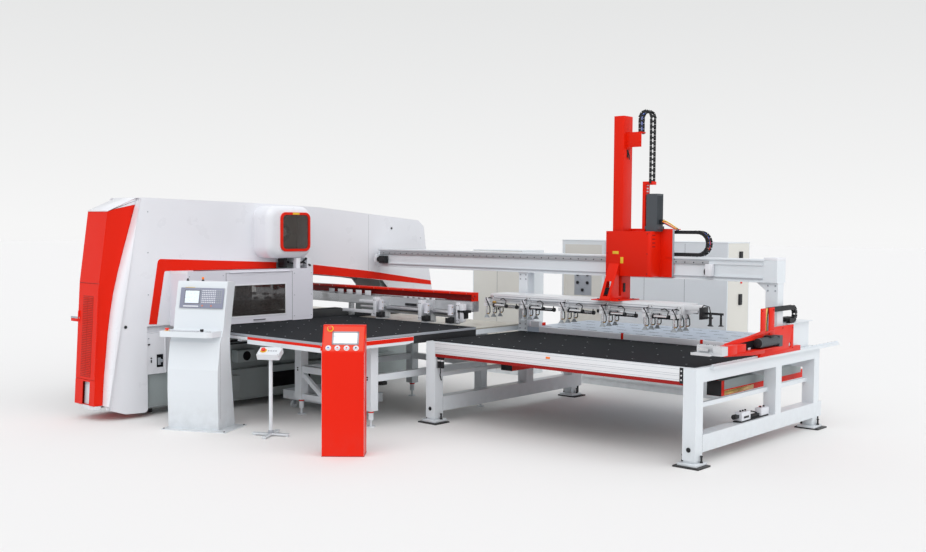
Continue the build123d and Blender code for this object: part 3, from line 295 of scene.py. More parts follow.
BLACK = finish("black_moulding", SKIN, (0.02, 0.021, 0.023), slot="black_plastic", bump=0.15, shine=0.2,
               Pebble=900, Scuff=0.05, Gloss=0.5)
RUBBER = finish("cup_rubber", SKIN, (0.33, 0.36, 0.38), slot="rubber_pale", bump=0.2, Pebble=900, Scuff=0.3,
                Gloss=0.6)
GREY = finish("grey_moulding", SKIN, (0.36, 0.385, 0.42), slot="grey_plastic", bump=0.1, Pebble=900,
              Scuff=0.08, Gloss=0.42)
PALE_KEY = finish("pale_key", SKIN, (0.72, 0.74, 0.78), slot="white_plastic", bump=0.05, Pebble=900,
                  Scuff=0.06, Gloss=0.3)
RED_KEY = finish("red_key", SKIN, (0.8, 0.035, 0.015), slot="red_plastic", bump=0.03, Pebble=900,
                 Scuff=0.05, Gloss=0.25)
YELLOW_KEY = finish("yellow_key", SKIN, (0.85, 0.52, 0.02), slot="grey_plastic", bump=0.03, Pebble=900,
                    Scuff=0.05, Gloss=0.3)
BLUE_KEY = finish("blue_key", SKIN, (0.03, 0.12, 0.55), slot="grey_plastic", bump=0.03, Pebble=900,
                  Scuff=0.03, Gloss=0.3)
ORANGE = finish("orange_lamp", SKIN, (0.95, 0.22, 0.02), slot="red_plastic", bump=0.03, Pebble=900,
                Scuff=0.02, Gloss=0.2)
SHADOW = finish("dark_inside", SKIN, (0.012, 0.012, 0.014), slot="black_plastic", bump=0.1, shine=0.05,
                Pebble=300, Scuff=0.02, Gloss=0.8)
SEAM = finish("panel_joint", SKIN, (0.16, 0.165, 0.18), slot="black_plastic", bump=0.05, Pebble=600,
              Scuff=0.02, Gloss=0.7)
SMOKED = glass_sheet("smoked_glass", (0.08, 0.068, 0.058), 0.55, "smoked_glass")
# Guard window: its dark warm tint is partly the pane's own and partly painted shade for the dim inside of the
# guard.
CLEAR = glass_sheet("tinted_window_and_painted_inner_shade", (0.045, 0.038, 0.034), 0.42, "smoked_glass")
PROFILE = finish("pale_anodised_profile", PAINT, (0.8, 0.815, 0.83), slot="aluminium", metal=0.1, Dust=0.02,
                 Soil=0.06, Gloss=0.32)
SCREEN = lit_screen("screen_face", (0.66, 0.73, 0.8), 22)
WORN_BROWN = finish("worn_brown_rail", PAINT, (0.36, 0.23, 0.17), slot="deck_blue", Dust=0.2, Soil=0.0,
                    Gloss=0.5)
# Lighter copy of the red: painted light on the pedestal's upturned sloped face.
LIT_FACE_RED = finish("painted_lit_red_face", PAINT, (0.8, 0.07, 0.035), slot="red_paint", shine=0.25, Dust=0.0,
                  Soil=0.0, Gloss=0.3)
OILED = finish("oiled_brown_grey", PAINT, (0.13, 0.105, 0.085), slot="base_paint", Dust=0.3, Soil=0.0,
               Gloss=0.5)
LOUVRE_RED = finish("shaded_louvre_red", PAINT, (0.46, 0.03, 0.018), slot="red_paint", shine=0.1, Dust=0.02,
                    Soil=0.05, Gloss=0.5)
STRIP_GREY = finish("rail_strip_grey", GRAIN, (0.42, 0.43, 0.45), slot="steel", metal=0.2, Stain=0.1,
                    Gloss=0.4)
PANEL_GREY = finish("panel_grey", SKIN, (0.26, 0.275, 0.36), slot="grey_plastic", bump=0.1, Pebble=900,
                    Scuff=0.05, Gloss=0.42)
PALE_SCREEN = lit_screen("pale_screen_face", (0.84, 0.86, 0.88), 5)
BRISTLE = finish("bristle_tips", SKIN, (0.024, 0.026, 0.029), slot="brush_black", bump=0.2, shine=0.05,
                 Pebble=900, Scuff=0.02, Gloss=0.75)

# sizes shared by many pieces, in metres and radians

SHEET = 0.004
CORNER = 0.6
SHARP = 0.7

# ends of the solids, read from the frame


class Span:
    """Ends of a CAD piece along x, y and z, to a tenth of a millimetre."""

    def __init__(self, node):
        points = [v.co for v in NODES[node].data.vertices]
        low, high = ([round(pick(p[axis] for p in points), 4) for axis in range(3)] for pick in (min, max))
        (self.left, self.front, self.foot), (self.right, self.back, self.top) = low, high


COVER, END = Span("front_cover"), Span("end_cabinet")
HEAD, GUARD, PANE = Span("head_cover"), Span("turret_guard"), Span("guard_window")
DIES, PUNCHES = Span("lower_turret"), Span("upper_turret")
TABLE, PLATES = Span("brush_tables"), Span("deck_plates")
CENTRE, LEDGE = Span("centre_table"), Span("table_frames")
HOOD, CLAMPS = Span("y_beam_cover"), Span("clamp_bodies")
BOARD, TRESTLES = Span("loader_belts"), Span("loader_frame")
STACK, DRAWERS = Span("stack_deck"), Span("deck_beams")
GANTRY, CARRIAGE = Span("gantry_frame"), Span("loader_carriage")
MAST, DRIVE, SPREADER = Span("lift_mast"), Span("carriage_motor"), Span("suction_frame")
ARM_DRIVE, RAIL = Span("transfer_motor"), Span("transfer_rail")
GRIPPER, CABINETS, DOOR = Span("transfer_gripper"), Span("electrical_cabinet"), Span("cabinet_door")

# making pieces


def linked(name, data):
    """New object in the scene."""
    item = bpy.data.objects.new(name, data)
    bpy.context.scene.collection.objects.link(item)
    return item


def shown(name, mesh, body, material):
    """Link a mesh as a piece that rides on a body, or on none where it runs between two."""
    mesh.materials.clear()
    mesh.materials.append(material)
    piece = linked(name, mesh)
    if body:
        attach(piece, body)
    return piece


def walls(shape, rings, closed=True):
    """Faces between rows of points, which go all the way round when closed."""
    faces = []
    for low, high in zip(rings, rings[1:]):
        for i in range(len(low) if closed else len(low) - 1):
            j = (i + 1) % len(low)
            faces.append(shape.faces.new((low[i], low[j], high[j], high[i])))
    return faces


def smooth_mesh(name, shape, angle=SHARP):
    """Mesh of a finished shape, smooth but for its sharp edges."""
    mesh = bpy.data.meshes.new(name)
    shape.to_mesh(mesh)
    shape.free()
    smooth_by_angle(mesh, angle)
    return mesh


class Bench:
    """Collects the solids of one piece before it is shown."""

    def __init__(self, name, material, edge=0.0, place=None, body="machine"):
        self.name, self.material, self.edge, self.body = name, material, edge, body
        self.place = place or Matrix.Identity(4)
        self.shape = bmesh.new()

    def _moved(self, made, place=None):
        """Put new points where they belong."""
        bmesh.ops.transform(self.shape, matrix=self.place @ (place or Matrix.Identity(4)), verts=made)
        return made

    def block(self, x, y, z, place=None):
        """Box between two places along each axis."""
        made = bmesh.ops.create_cube(self.shape, size=1)["verts"]
        for v in made:
            v.co = Vector([sum(p) / 2 + c * (p[1] - p[0]) for p, c in zip((x, y, z), v.co)])
        return self._moved(made, place)

    def plate(self, points, thick, axis, place=None):
        """Flat outline given in the two other axes, made thick along one."""
        at = "xyz".index(axis)
        rings = [[self.shape.verts.new((*p[:at], t, *p[at:])) for p in points] for t in thick]
        faces = [self.shape.faces.new(r) for r in rings]
        for i in range(len(points)):
            j = (i + 1) % len(points)
            faces.append(self.shape.faces.new((rings[0][i], rings[0][j], rings[1][j], rings[1][i])))
        bmesh.ops.recalc_face_normals(self.shape, faces=faces)
        return self._moved([v for r in rings for v in r], place)

    def turned(self, profile, centre, axis="z", sides=24, place=None):
        """Round piece from (radius, height) points, closed at both ends."""
        rings = []
        for r, h in profile:
            ring = []
            for i in range(sides):
                a = 2 * math.pi * i / sides
                ring.append(self.shape.verts.new((r * math.cos(a), r * math.sin(a), h)))
            rings.append(ring)
        faces = walls(self.shape, rings) + [self.shape.faces.new(rings[0]), self.shape.faces.new(rings[-1])]
        bmesh.ops.recalc_face_normals(self.shape, faces=faces)
        turn = {"z": Matrix.Identity(4), "x": Matrix.Rotation(math.pi / 2, 4, "Y"),
                "y": Matrix.Rotation(-math.pi / 2, 4, "X")}[axis]
        made = [v for r in rings for v in r]
        return self._moved(made, (place or Matrix.Identity(4)) @ Matrix.Translation(centre) @ turn)

    def tube(self, points, radius, sides=10):
        """Round tube through points, closed at both ends."""
        path = [Vector(p) for p in points]
        rings, side = [], None
        for i, p in enumerate(path):
            along = (path[min(i + 1, len(path) - 1)] - path[max(i - 1, 0)]).normalized()
            if side is None:
                side = along.orthogonal().normalized()
            side = (side - along * side.dot(along)).normalized()
            other = along.cross(side)
            rings.append([self.shape.verts.new(p + radius * (side * math.cos(a) + other * math.sin(a)))
                          for a in (2 * math.pi * k / sides for k in range(sides))])
        faces = walls(self.shape, rings) + [self.shape.faces.new(rings[0]), self.shape.faces.new(rings[-1])]
        bmesh.ops.recalc_face_normals(self.shape, faces=faces)
        return self._moved([v for r in rings for v in r])

    def show(self):
        """Break the edges and put the piece on its body."""
        if self.edge:
            sharp = [e for e in self.shape.edges if e.is_manifold and e.calc_face_angle(0) > CORNER]
            bmesh.ops.bevel(self.shape, geom=sharp, offset=self.edge, segments=2, profile=0.5,
                            affect="EDGES", clamp_overlap=True)
        return shown(self.name, smooth_mesh(self.name, self.shape), self.body, self.material)


def smooth_by_angle(mesh, angle):
    """Smooth faces with sharp edges kept where two faces meet at more than the angle."""
    for p in mesh.polygons:
        p.use_smooth = True
    work = bmesh.new()
    work.from_mesh(mesh)
    for e in work.edges:
        e.smooth = e.is_manifold and e.calc_face_angle(0) < angle
    work.to_mesh(mesh)
    work.free()


def blocks(name, material, solids, **values):
    """Piece made of plain boxes, each given by its ends along x, y and z."""
    piece = Bench(name, material, **values)
    for solid in solids:
        piece.block(*solid)
    piece.show()


def rounds(name, material, solids, **values):
    """Piece made of turned solids, each given by its profile, centre, axis and sides."""
    piece = Bench(name, material, **values)
    for solid in solids:
        piece.turned(*solid)
    piece.show()


def dressed(node, material, edge=0.003, angle=0.5):
    """Copy of a CAD piece with its edges broken, shown in its stead."""
    source = NODES[node]
    work = bmesh.new()
    work.from_mesh(source.data)
    bmesh.ops.remove_doubles(work, verts=work.verts, dist=0.00002)
    bmesh.ops.dissolve_limit(work, angle_limit=0.01, verts=work.verts, edges=work.edges)
    sharp = [e for e in work.edges if e.is_manifold and e.calc_face_angle(0) > angle]
    bmesh.ops.bevel(work, geom=sharp, offset=edge, segments=2, profile=0.5, affect="EDGES",
                    clamp_overlap=True)
    piece = shown(node + "_shell", smooth_mesh(node + "_shell", work), source["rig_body"], material)
    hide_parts(node)
    return piece


def coat(material, *nodes):
    """Give CAD pieces their finish."""
    for node in nodes:
        data = NODES[node].data
        data.materials.clear()
        data.materials.append(material)


# patterns that repeat


def node_tree(name, inputs):
    """New geometry tree with its inputs, and its in and out nodes."""
    tree = bpy.data.node_groups.new(name, "GeometryNodeTree")
    tree.interface.new_socket(name="Geometry", in_out="INPUT", socket_type="NodeSocketGeometry")
    for label, kind in inputs:
        tree.interface.new_socket(name=label, in_out="INPUT", socket_type=kind)
    tree.interface.new_socket(name="Finish", in_out="INPUT", socket_type="NodeSocketMaterial")
    tree.interface.new_socket(name="Geometry", in_out="OUTPUT", socket_type="NodeSocketGeometry")
    return tree, tree.nodes.new("NodeGroupInput"), tree.nodes.new("NodeGroupOutput")


def close_tree(tree, start, end, instances):
    """Every tree ends the same way: real geometry with its finish."""
    real = tree.nodes.new("GeometryNodeRealizeInstances")
    paint = tree.nodes.new("GeometryNodeSetMaterial")
    tree.links.new(instances, real.inputs[0])
    tree.links.new(real.outputs[0], paint.inputs["Geometry"])
    tree.links.new(start.outputs["Finish"], paint.inputs["Material"])
    tree.links.new(paint.outputs[0], end.inputs[0])


def put_at(tree, points, shape, turn):
    """The shape at each point, turned its way."""
    put = tree.nodes.new("GeometryNodeInstanceOnPoints")
    return feed(tree, put, {"Points": points, "Instance": shape, "Rotation": turn}).outputs[0]


def facing_points(tree, start):
    """Points of the input mesh, each with the turn stored on it."""
    points = tree.nodes.new("GeometryNodeMeshToPoints")
    tree.links.new(start.outputs["Geometry"], points.inputs["Mesh"])
    way = tree.nodes.new("GeometryNodeInputNamedAttribute")
    way.data_type = "FLOAT_VECTOR"
    way.inputs["Name"].default_value = "facing"
    turn = tree.nodes.new("FunctionNodeAlignRotationToVector")
    turn.axis = "Z"
    tree.links.new(way.outputs["Attribute"], turn.inputs["Vector"])
    return points.outputs[0], turn.outputs[0]


def screw_heads():
    """Socket screws at points: a low round head."""
    tree, start, end = node_tree("screw_heads", [("Radius", "NodeSocketFloat"),
            ("Height", "NodeSocketFloat"), ("Sides", "NodeSocketInt")])
    points, turn = facing_points(tree, start)
    head = tree.nodes.new("GeometryNodeMeshCylinder")
    feed(tree, head, {"Vertices": start.outputs["Sides"], "Radius": start.outputs["Radius"],
                      "Depth": start.outputs["Height"]})
    close_tree(tree, start, end, put_at(tree, points, head.outputs["Mesh"], turn))
    return tree


def bar_row():
    """Bars at points, for slats, teeth and slots, each turned to its facing and sized by three lengths."""
    tree, start, end = node_tree("bar_row", [("Size", "NodeSocketVector")])
    points, turn = facing_points(tree, start)
    bar = tree.nodes.new("GeometryNodeMeshCube")
    tree.links.new(start.outputs["Size"], bar.inputs["Size"])
    close_tree(tree, start, end, put_at(tree, points, bar.outputs["Mesh"], turn))
    return tree


def tuft_field():
    """Brush tufts over a flat mesh: short cones set in rows, leaning a little by a fixed seed."""
    tree, start, end = node_tree("tuft_field", [("Radius", "NodeSocketFloat"),
            ("Height", "NodeSocketFloat"), ("Lean", "NodeSocketFloat"), ("Seed", "NodeSocketInt")])
    points = tree.nodes.new("GeometryNodeMeshToPoints")
    tree.links.new(start.outputs["Geometry"], points.inputs["Mesh"])
    tuft = tree.nodes.new("GeometryNodeMeshCone")
    tuft.fill_type = "NONE"
    feed(tree, tuft, {"Vertices": 5, "Radius Top": 0.002, "Radius Bottom": start.outputs["Radius"],
                      "Depth": start.outputs["Height"]})
    lean = tree.nodes.new("FunctionNodeRandomValue")
    lean.data_type = "FLOAT_VECTOR"
    back = sums(tree, "MULTIPLY", start.outputs["Lean"], -1)
    feed(tree, lean, {"Min": back, "Max": start.outputs["Lean"], "Seed": start.outputs["Seed"]})
    close_tree(tree, start, end, put_at(tree, points.outputs[0], tuft.outputs["Mesh"], lean.outputs["Value"]))
    return tree


def chain_links():
    """Cable chain links along a curve: side cheeks with a bridge over each, one link to each step."""
    tree, start, end = node_tree("chain_links", [("Step", "NodeSocketFloat"), ("Wide", "NodeSocketFloat"),
            ("Tall", "NodeSocketFloat"), ("Across", "NodeSocketVector")])
    steps = tree.nodes.new("GeometryNodeResampleCurve")
    steps.mode = "LENGTH"
    tree.links.new(start.outputs["Geometry"], steps.inputs["Curve"])
    tree.links.new(start.outputs["Step"], steps.inputs["Length"])
    points = tree.nodes.new("GeometryNodeCurveToPoints")
    points.mode = "EVALUATED"
    tree.links.new(steps.outputs[0], points.inputs[0])
    link = tree.nodes.new("GeometryNodeJoinGeometry")

    def part(share_x, share_y, share_z, y=0.0, z=0.0):
        """One plate of the link, its sides and place as shares of the link's own."""
        size = tree.nodes.new("ShaderNodeCombineXYZ")
        move = tree.nodes.new("ShaderNodeCombineXYZ")
        for axis, source, share in (("X", "Step", share_x), ("Y", "Wide", share_y), ("Z", "Tall", share_z)):
            tree.links.new(sums(tree, "MULTIPLY", start.outputs[source], share), size.inputs[axis])
        tree.links.new(sums(tree, "MULTIPLY", start.outputs["Wide"], y), move.inputs["Y"])
        tree.links.new(sums(tree, "MULTIPLY", start.outputs["Tall"], z), move.inputs["Z"])
        cube = tree.nodes.new("GeometryNodeMeshCube")
        tree.links.new(size.outputs[0], cube.inputs["Size"])
        put = tree.nodes.new("GeometryNodeTransform")
        tree.links.new(cube.outputs["Mesh"], put.inputs["Geometry"])
        tree.links.new(move.outputs[0], put.inputs["Translation"])
        tree.links.new(put.outputs[0], link.inputs[0])

    part(0.97, 0.12, 1.0, y=-0.44)
    part(0.97, 0.12, 1.0, y=0.44)
    part(0.3, 0.8, 0.1, z=0.4)
    part(0.3, 0.8, 0.1, z=-0.4)
    turn = tree.nodes.new("FunctionNodeAxesToRotation")
    turn.primary_axis, turn.secondary_axis = "X", "Y"
    tree.links.new(points.outputs["Tangent"], turn.inputs[0])
    tree.links.new(start.outputs["Across"], turn.inputs[1])
    close_tree(tree, start, end, put_at(tree, points.outputs["Points"], link.outputs[0], turn.outputs[0]))
    return tree


SCREWS = screw_heads()
BARS = bar_row()
TUFTS = tuft_field()
LINKS = chain_links()


def run_tree(carrier, name, body, material, tree, place, **values):
    """Run a geometry tree on a carrier and show the plain mesh that it gives."""
    modifier = carrier.modifiers.new("pattern", "NODES")
    modifier.node_group = tree
    values["Finish"] = material
    for item in tree.interface.items_tree:
        if item.in_out == "INPUT" and item.name in values:
            modifier[item.identifier] = values[item.name]
    mesh = bpy.data.meshes.new_from_object(carrier.evaluated_get(bpy.context.evaluated_depsgraph_get()))
    bpy.data.objects.remove(carrier)
    if place:
        mesh.transform(place)
    return shown(name, mesh, body, material)


def grown(name, body, material, tree, source, place=None, **values):
    """A geometry tree run on source data."""
    return run_tree(linked(name + "_points", source), name, body, material, tree, place, **values)


def spots(points, facing):
    """Loose points that share a facing, or have one each."""
    mesh = bpy.data.meshes.new("spots")
    mesh.from_pydata([tuple(p) for p in points], [], [])
    ways = mesh.attributes.new("facing", "FLOAT_VECTOR", "POINT")
    each = facing if isinstance(facing, list) else [facing] * len(points)
    ways.data.foreach_set("vector", [c for way in each for c in way])
    return mesh


def steps(start, end, count):
    """Even places from start to end."""
    return [start + (end - start) * i / (count - 1) for i in range(count)]


def screws(name, points, facing, radius=0.006, height=0.004, material=BLACK_STEEL, sides=10, place=None,
           body="machine"):
    """Round or six-sided heads at points, each standing its height above its point."""
    return grown(name, body, material, SCREWS, spots(points, facing), place=place, Radius=radius,
                 Height=2 * height, Sides=sides)


def bars(name, points, facing, size, material, place=None, body="machine"):
    """Small bars at points, for slats, keys and teeth."""
    return grown(name, body, material, BARS, spots(points, facing), place=place, Size=size)


def chain_of_links(name, body, material, points, across, step, wide, tall):
    """Cable chain through points, with its pins along the given way."""
    curve = bpy.data.curves.new(name + "_path", "CURVE")
    curve.dimensions = "3D"
    line = curve.splines.new("POLY")
    line.points.add(len(points) - 1)
    for p, q in zip(line.points, points):
        p.co = (*q, 1)
    sizes = {"Step": step, "Wide": wide, "Tall": tall, "Across": across}
    return run_tree(linked(name + "_line", curve), name, body, material, LINKS, None, **sizes)

# finishes of the solid pieces

coat(BASE, "press_frame", "y_rails")
coat(BLACK_STEEL, "levelling_feet")
coat(WHITE, "front_cover", "rear_cover", "top_cover", "head_cover")
coat(RED, "red_trim", "end_cabinet", "end_cabinet_door", "pedestal_body", "y_beam_cover", "loader_carriage",
     "lift_mast", "transfer_arm", "deck_beams")
coat(SMOKED, "head_window")
coat(CLEAR, "guard_window")
coat(LAVENDER, "turret_guard", "guard_door")
coat(STEEL, "hydraulic_cylinder", "upper_turret", "lower_turret", "y_beam")
coat(BRIGHT, "punch_ram")
coat(BLACK_STEEL, "drive_wheel", "clamp_jaws")
coat(BRUSH, "centre_table", "brush_tables", "loader_belts")
coat(BEIGE_STEEL, "deck_plates")
coat(FRAME, "console_body", "button_stand", "table_frames", "table_legs", "loader_frame", "gantry_frame",
     "transfer_rail")
coat(ALUMINIUM, "x_saddle", "clamp_bodies", "transfer_gripper")
coat(PROFILE, "suction_frame")
coat(GREY, "operator_displays")
coat(RED_KEY, "console_stop", "stand_stop", "pedestal_stop")
coat(BLACK, "console_knob", "mast_chain", "gantry_chain", "transfer_chain")
coat(PALE_KEY, "pedestal_button_1", "pedestal_button_2", "pedestal_button_3", "pedestal_button_4")
coat(DECK, "stack_deck")
coat(MOTOR, "carriage_motor", "transfer_motor")
coat(RUBBER, "suction_cups")
coat(PALE_BLUE, "electrical_cabinet")
coat(BEIGE, "cabinet_door")

# press


def press_covers():
    """Panel joints, screws and plugs of both side covers, and their noses."""
    for side in (1, -1):
        skin = side * COVER.right
        out = (skin - 0.0003, skin + 0.0006) if side > 0 else (skin - 0.0006, skin + 0.0003)
        tag = "front" if side > 0 else "rear"
        joints = Bench(f"{tag}_cover_joints", SEAM)
        for y, z in ((1.31, (1.525, 2.26)), (1.655, (0.9, 1.35))):
            joints.block(out, (y - 0.0012, y + 0.0012), z)
        joints.block(out, (-1.99, -1.4), (0.9915, 0.9935))
        joints.show()
        screws(f"{tag}_cover_screws", [(skin + side * 0.0005, y, z) for y,
                z in [(-1.975, z) for z in (0.86, 1.34, 1.8, 2.245)] + [(2.3, z) for z in (1.55, 1.95)]],
               (side, 0, 0), radius=0.007, height=0.0022, material=GREY)
        plugs = Bench(f"{tag}_cover_plugs", BLACK, edge=0.002)
        tall = 0.009
        for y, z, r in ((-2.245, 1.002, 0.017), (1.733, 2.082, 0.015)):
            depth = 0.298 if y < -2 else COVER.right
            foot = depth if side > 0 else -depth - tall
            plugs.turned([(r, 0), (r, 0.006), (r * 0.6, tall)], (foot, y, z), "x")
        plugs.show()
        cover_nose(tag, side)


def service_box():
    """Side plates of the base, and the service box with its window, fittings and latches."""
    blocks("base_side_plates", BASE, [
        ((0.2703, 0.2715), (-1.989, -1.402), (0.102, 0.468)),
        ((-0.2715, -0.2703), (-1.989, -1.402), (0.102, 0.988))], edge=0.001)
    blocks("service_box_edges", WHITE, [
        ((0.27, 0.306), (-1.987, -1.761), (0.916, 0.924)),
        ((0.27, 0.306), (-1.987, -1.761), (0.464, 0.472)),
        ((0.27, 0.306), (-1.767, -1.757), (0.464, 0.924)),
        ((0.27, 0.306), (-1.99, -1.982), (0.464, 0.924))], edge=0.004)
    blocks("service_box_window", SHADOW, [((0.2995, 0.3015), (-1.87, -1.79), (0.534, 0.676))])
    fitting = Bench("service_box_fittings", GREY, edge=0.003)
    fitting.block((0.301, 0.312), (-1.86, -1.825), (0.56, 0.64))
    fitting.turned([(0.018, 0), (0.018, 0.012)], (0.301, -1.812, 0.605), "x", 20)
    fitting.show()
    latches = Bench("service_box_latches", BLACK, edge=0.002)
    latches.block((0.3, 0.314), (-1.98, -1.958), (0.785, 0.8))
    latches.turned([(0.008, 0), (0.008, 0.01)], (0.3, -1.94, 0.64), "x", 16)
    latches.block((0.3, 0.31), (-1.946, -1.934), (0.59, 0.622))
    latches.show()


def cover_nose(tag, side):
    """Curved nose that turns in from the straight leading edge of a side cover to the end cabinet."""
    inner = [(-2.06, 2.325), (-2.128, 2.094), (-2.205, 1.84), (-2.277, 1.587), (-2.332, 1.367),
             (-2.372, 1.148), (-2.402, 0.927), (-2.424, 0.708), (-2.444, 0.52), (-2.459, 0.332),
             (-2.468, 0.167)]
    nose = bmesh.new()
    rows = []
    for y, z in [(-2.035, 2.392)] + inner + [(-2.395, 0.125)]:
        edge = COVER.front + 0.402 * (min(z, 2.39) - 0.13) / 2.27 + 0.0015
        quarter = [math.radians(90 * k / 8) for k in range(9)]
        rows.append([nose.verts.new((side * (0.2035 + 0.106 * math.sin(a)), y
                + (edge - y) * (1 - math.cos(a)), z)) for a in quarter])
    walls(nose, rows, closed=False)
    bmesh.ops.recalc_face_normals(nose, faces=nose.faces)
    name = f"{tag}_cover_nose"
    shown(name, smooth_mesh(name, nose, 0.8), "machine", WHITE)


def end_cabinet():
    """Sloped end cabinet: pale cap, louvres and trim on the leaning door."""
    lean = math.atan2(0.074, 1.306)
    door = Matrix.Translation((0, -2.564, 0.17)) @ Matrix.Rotation(-lean, 4, "X")
    blocks("louvre_panel", LOUVRE_RED, [
        ((-0.105, 0.105), (-0.0046, -0.004), (0.3, 1.17))], place=door, body="end_door")
    rows = [(x, -0.0062, z) for x in (-0.052, 0.052) for z in steps(0.315, 1.155, 46)]
    bars("louvre_slats", rows, (0, -1, 0.9), (0.092, 0.01, 0.0016), RED, place=door, body="end_door")
    blocks("end_door_handle", RED, [
        ((-0.34, -0.16), (-0.01, -0.0045), (0.88, 0.912)),
        ((-0.34, -0.328), (-0.01, 0.03), (0.88, 0.912))], edge=0.004, place=door, body="end_door")
    blocks("end_door_handle_top", GREY, [
        ((-0.345, -0.165), (-0.012, 0.014), (0.913, 0.932))], edge=0.003, place=door, body="end_door")
    blocks("end_cabinet_joint", SEAM, [((END.left, 0.2006), (-2.4935, -2.4895), (1.4745, 1.4775))])
    cap = Bench("end_cabinet_cap", WHITE, edge=0.004)
    cap.plate([(-2.392, 2.24), (-2.06, 2.386), (-1.99, 2.386), (-1.99, 2.3955), (-2.064, 2.3955),
               (-2.4, 2.25)], (END.left - 0.0035, END.right - 0.0085), "x")
    cap.show()
    blocks("end_cabinet_toe_panel", FRAME, [
        ((-0.06, 0.112), (0.03, 0.033), (0.006, 0.262)),
        ((-0.06, 0.2), (0.004, 0.08), (-0.042, -0.001))], edge=0.003, place=door)
    wing = Bench("end_cabinet_white_shoulder", WHITE, edge=0.001)
    for side in (1, -1):
        skin = (0.2005, 0.2022) if side > 0 else (-0.2022, -0.2005)
        wing.plate([(-2.384, 2.2535), (-2.047, 2.326), (-1.995, 2.335), (-1.995, 2.384), (-2.06, 2.384),
                    (-2.386, 2.243)], skin, "x")
    wing.show()
    screws("end_cabinet_screws", [(s * 0.2005, -2.1, z) for s in (1, -1) for z in steps(0.3, 2.2, 7)],
           (1, 0, 0), radius=0.006, height=0.003)


def rounded(y, z, radius, steps_round=8):
    """Rounded rectangle in y and z, corner after corner."""
    points = []
    for cy, cz, start in ((y[1] - radius, z[1] - radius, 0), (y[0] + radius, z[1] - radius, 90),
                          (y[0] + radius, z[0] + radius, 180), (y[1] - radius, z[0] + radius, 270)):
        for k in range(steps_round + 1):
            a = math.radians(start + 90 * k / steps_round)
            points.append((cy + radius * math.cos(a), cz + radius * math.sin(a)))
    return points


def head_shell():
    """Moulded cover of the hydraulic head: a pillow with a broad rolled rim and the window opening."""
    y, z, front, back = (HEAD.front, HEAD.back), (HEAD.foot, HEAD.top), HEAD.right, HEAD.left
    rim = 0.085
    profile = [(back, 0.0, 0.15)]
    for k in range(9):
        a = math.radians(90 * k / 8)
        profile.append((front - rim + rim * math.sin(a), rim * (1 - math.cos(a)), 0.15 - 0.055 * k / 8))
    window_y, window_z = (-0.372, 0.037), (1.819, 2.246)
    shell = bmesh.new()
    rings = []
    for x, inset, radius in profile:
        outline = rounded((y[0] + inset, y[1] - inset * 0.55), (z[0] + inset, z[1] - inset), radius)
        rings.append([shell.verts.new((x, *p)) for p in outline])
    rings.append([shell.verts.new((front, *p)) for p in rounded(window_y, window_z, 0.035)])
    rings.append([shell.verts.new((front - 0.03, *p)) for p in rounded(window_y, window_z, 0.035)])
    walls(shell, rings)
    bmesh.ops.recalc_face_normals(shell, faces=shell.faces)
    piece = shown("head_cover_shell", smooth_mesh("head_cover_shell", shell), None, WHITE)
    wall = piece.modifiers.new("wall", "SOLIDIFY")
    wall.thickness = SHEET
    wall.offset = -1
    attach(piece, "machine")
    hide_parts("head_cover")


def head():
    """Window in the hydraulic head: its shell, sticker and what shows behind."""
    head_shell()
    blocks("head_sticker", YELLOW, [((0.618, 0.6187), (-0.215, -0.115), (2.238, 2.262))], edge=0.0008)
    blocks("head_back_wall", OILED, [((0.33, 0.336), (-0.4, 0.085), (1.79, 2.28))])
    rounds("drive_wheel_hub", ALUMINIUM, [
        ([(0.048, 0), (0.048, 0.004), (0.036, 0.006), (0.012, 0.007)], (0.53, -0.29, 2.026), "x", 32)],
            edge=0.003, body="wheel")
    rim = Bench("drive_wheel_rim", STEEL, edge=0.002, body="wheel")
    for k in range(30):
        a = math.radians(k * 12)
        rim.block((0.487, 0.513), (-0.004, 0.004), (0.1165, 0.1235),
                  place=Matrix.Translation((0, -0.29, 2.026)) @ Matrix.Rotation(a, 4, "X"))
    rim.show()
    rounds("head_inner_fitting", BLACK, [
        ([(0.02, 0.0), (0.02, 0.06), (0.012, 0.07), (0.012, 0.11)], (0.336, -0.055, 2.01), "x", 20)],
            edge=0.003)


def head_underside():
    """Pipes, posts and valves below the hydraulic head."""
    under = Bench("head_under_pipes", BLACK, edge=0.002)
    under.tube([(0.33, -0.16, 1.714), (0.36, -0.15, 1.67), (0.42, -0.06, 1.655), (0.5, 0.02, 1.66),
                (0.54, 0.06, 1.714)], 0.013)
    under.tube([(0.33, 0.01, 1.714), (0.37, 0.05, 1.665), (0.44, 0.12, 1.65), (0.5, 0.16, 1.62)], 0.011)
    under.block((0.335, 0.46), (-0.215, -0.175), (GUARD.top + 0.003, HEAD.foot - 0.002))
    under.show()
    blocks("head_under_post", WHITE, [
        ((0.5, 0.56), (-0.115, -0.055), (1.5845, HEAD.foot - 0.001)),
        ((0.36, 0.48), (0.12, 0.18), (1.52, HEAD.foot - 0.002))], edge=0.004)
    valves = Bench("head_under_valves", ALUMINIUM, edge=0.003)
    valves.block((0.34, 0.47), (-0.1, 0.0), (1.66, HEAD.foot - 0.002))
    valves.block((0.34, 0.43), (0.02, HEAD.back - 0.004), (1.62, 1.68))
    valves.turned([(0.016, 0), (0.016, 0.05)], (0.44, -0.03, 1.61), "z", 20)
    valves.show()


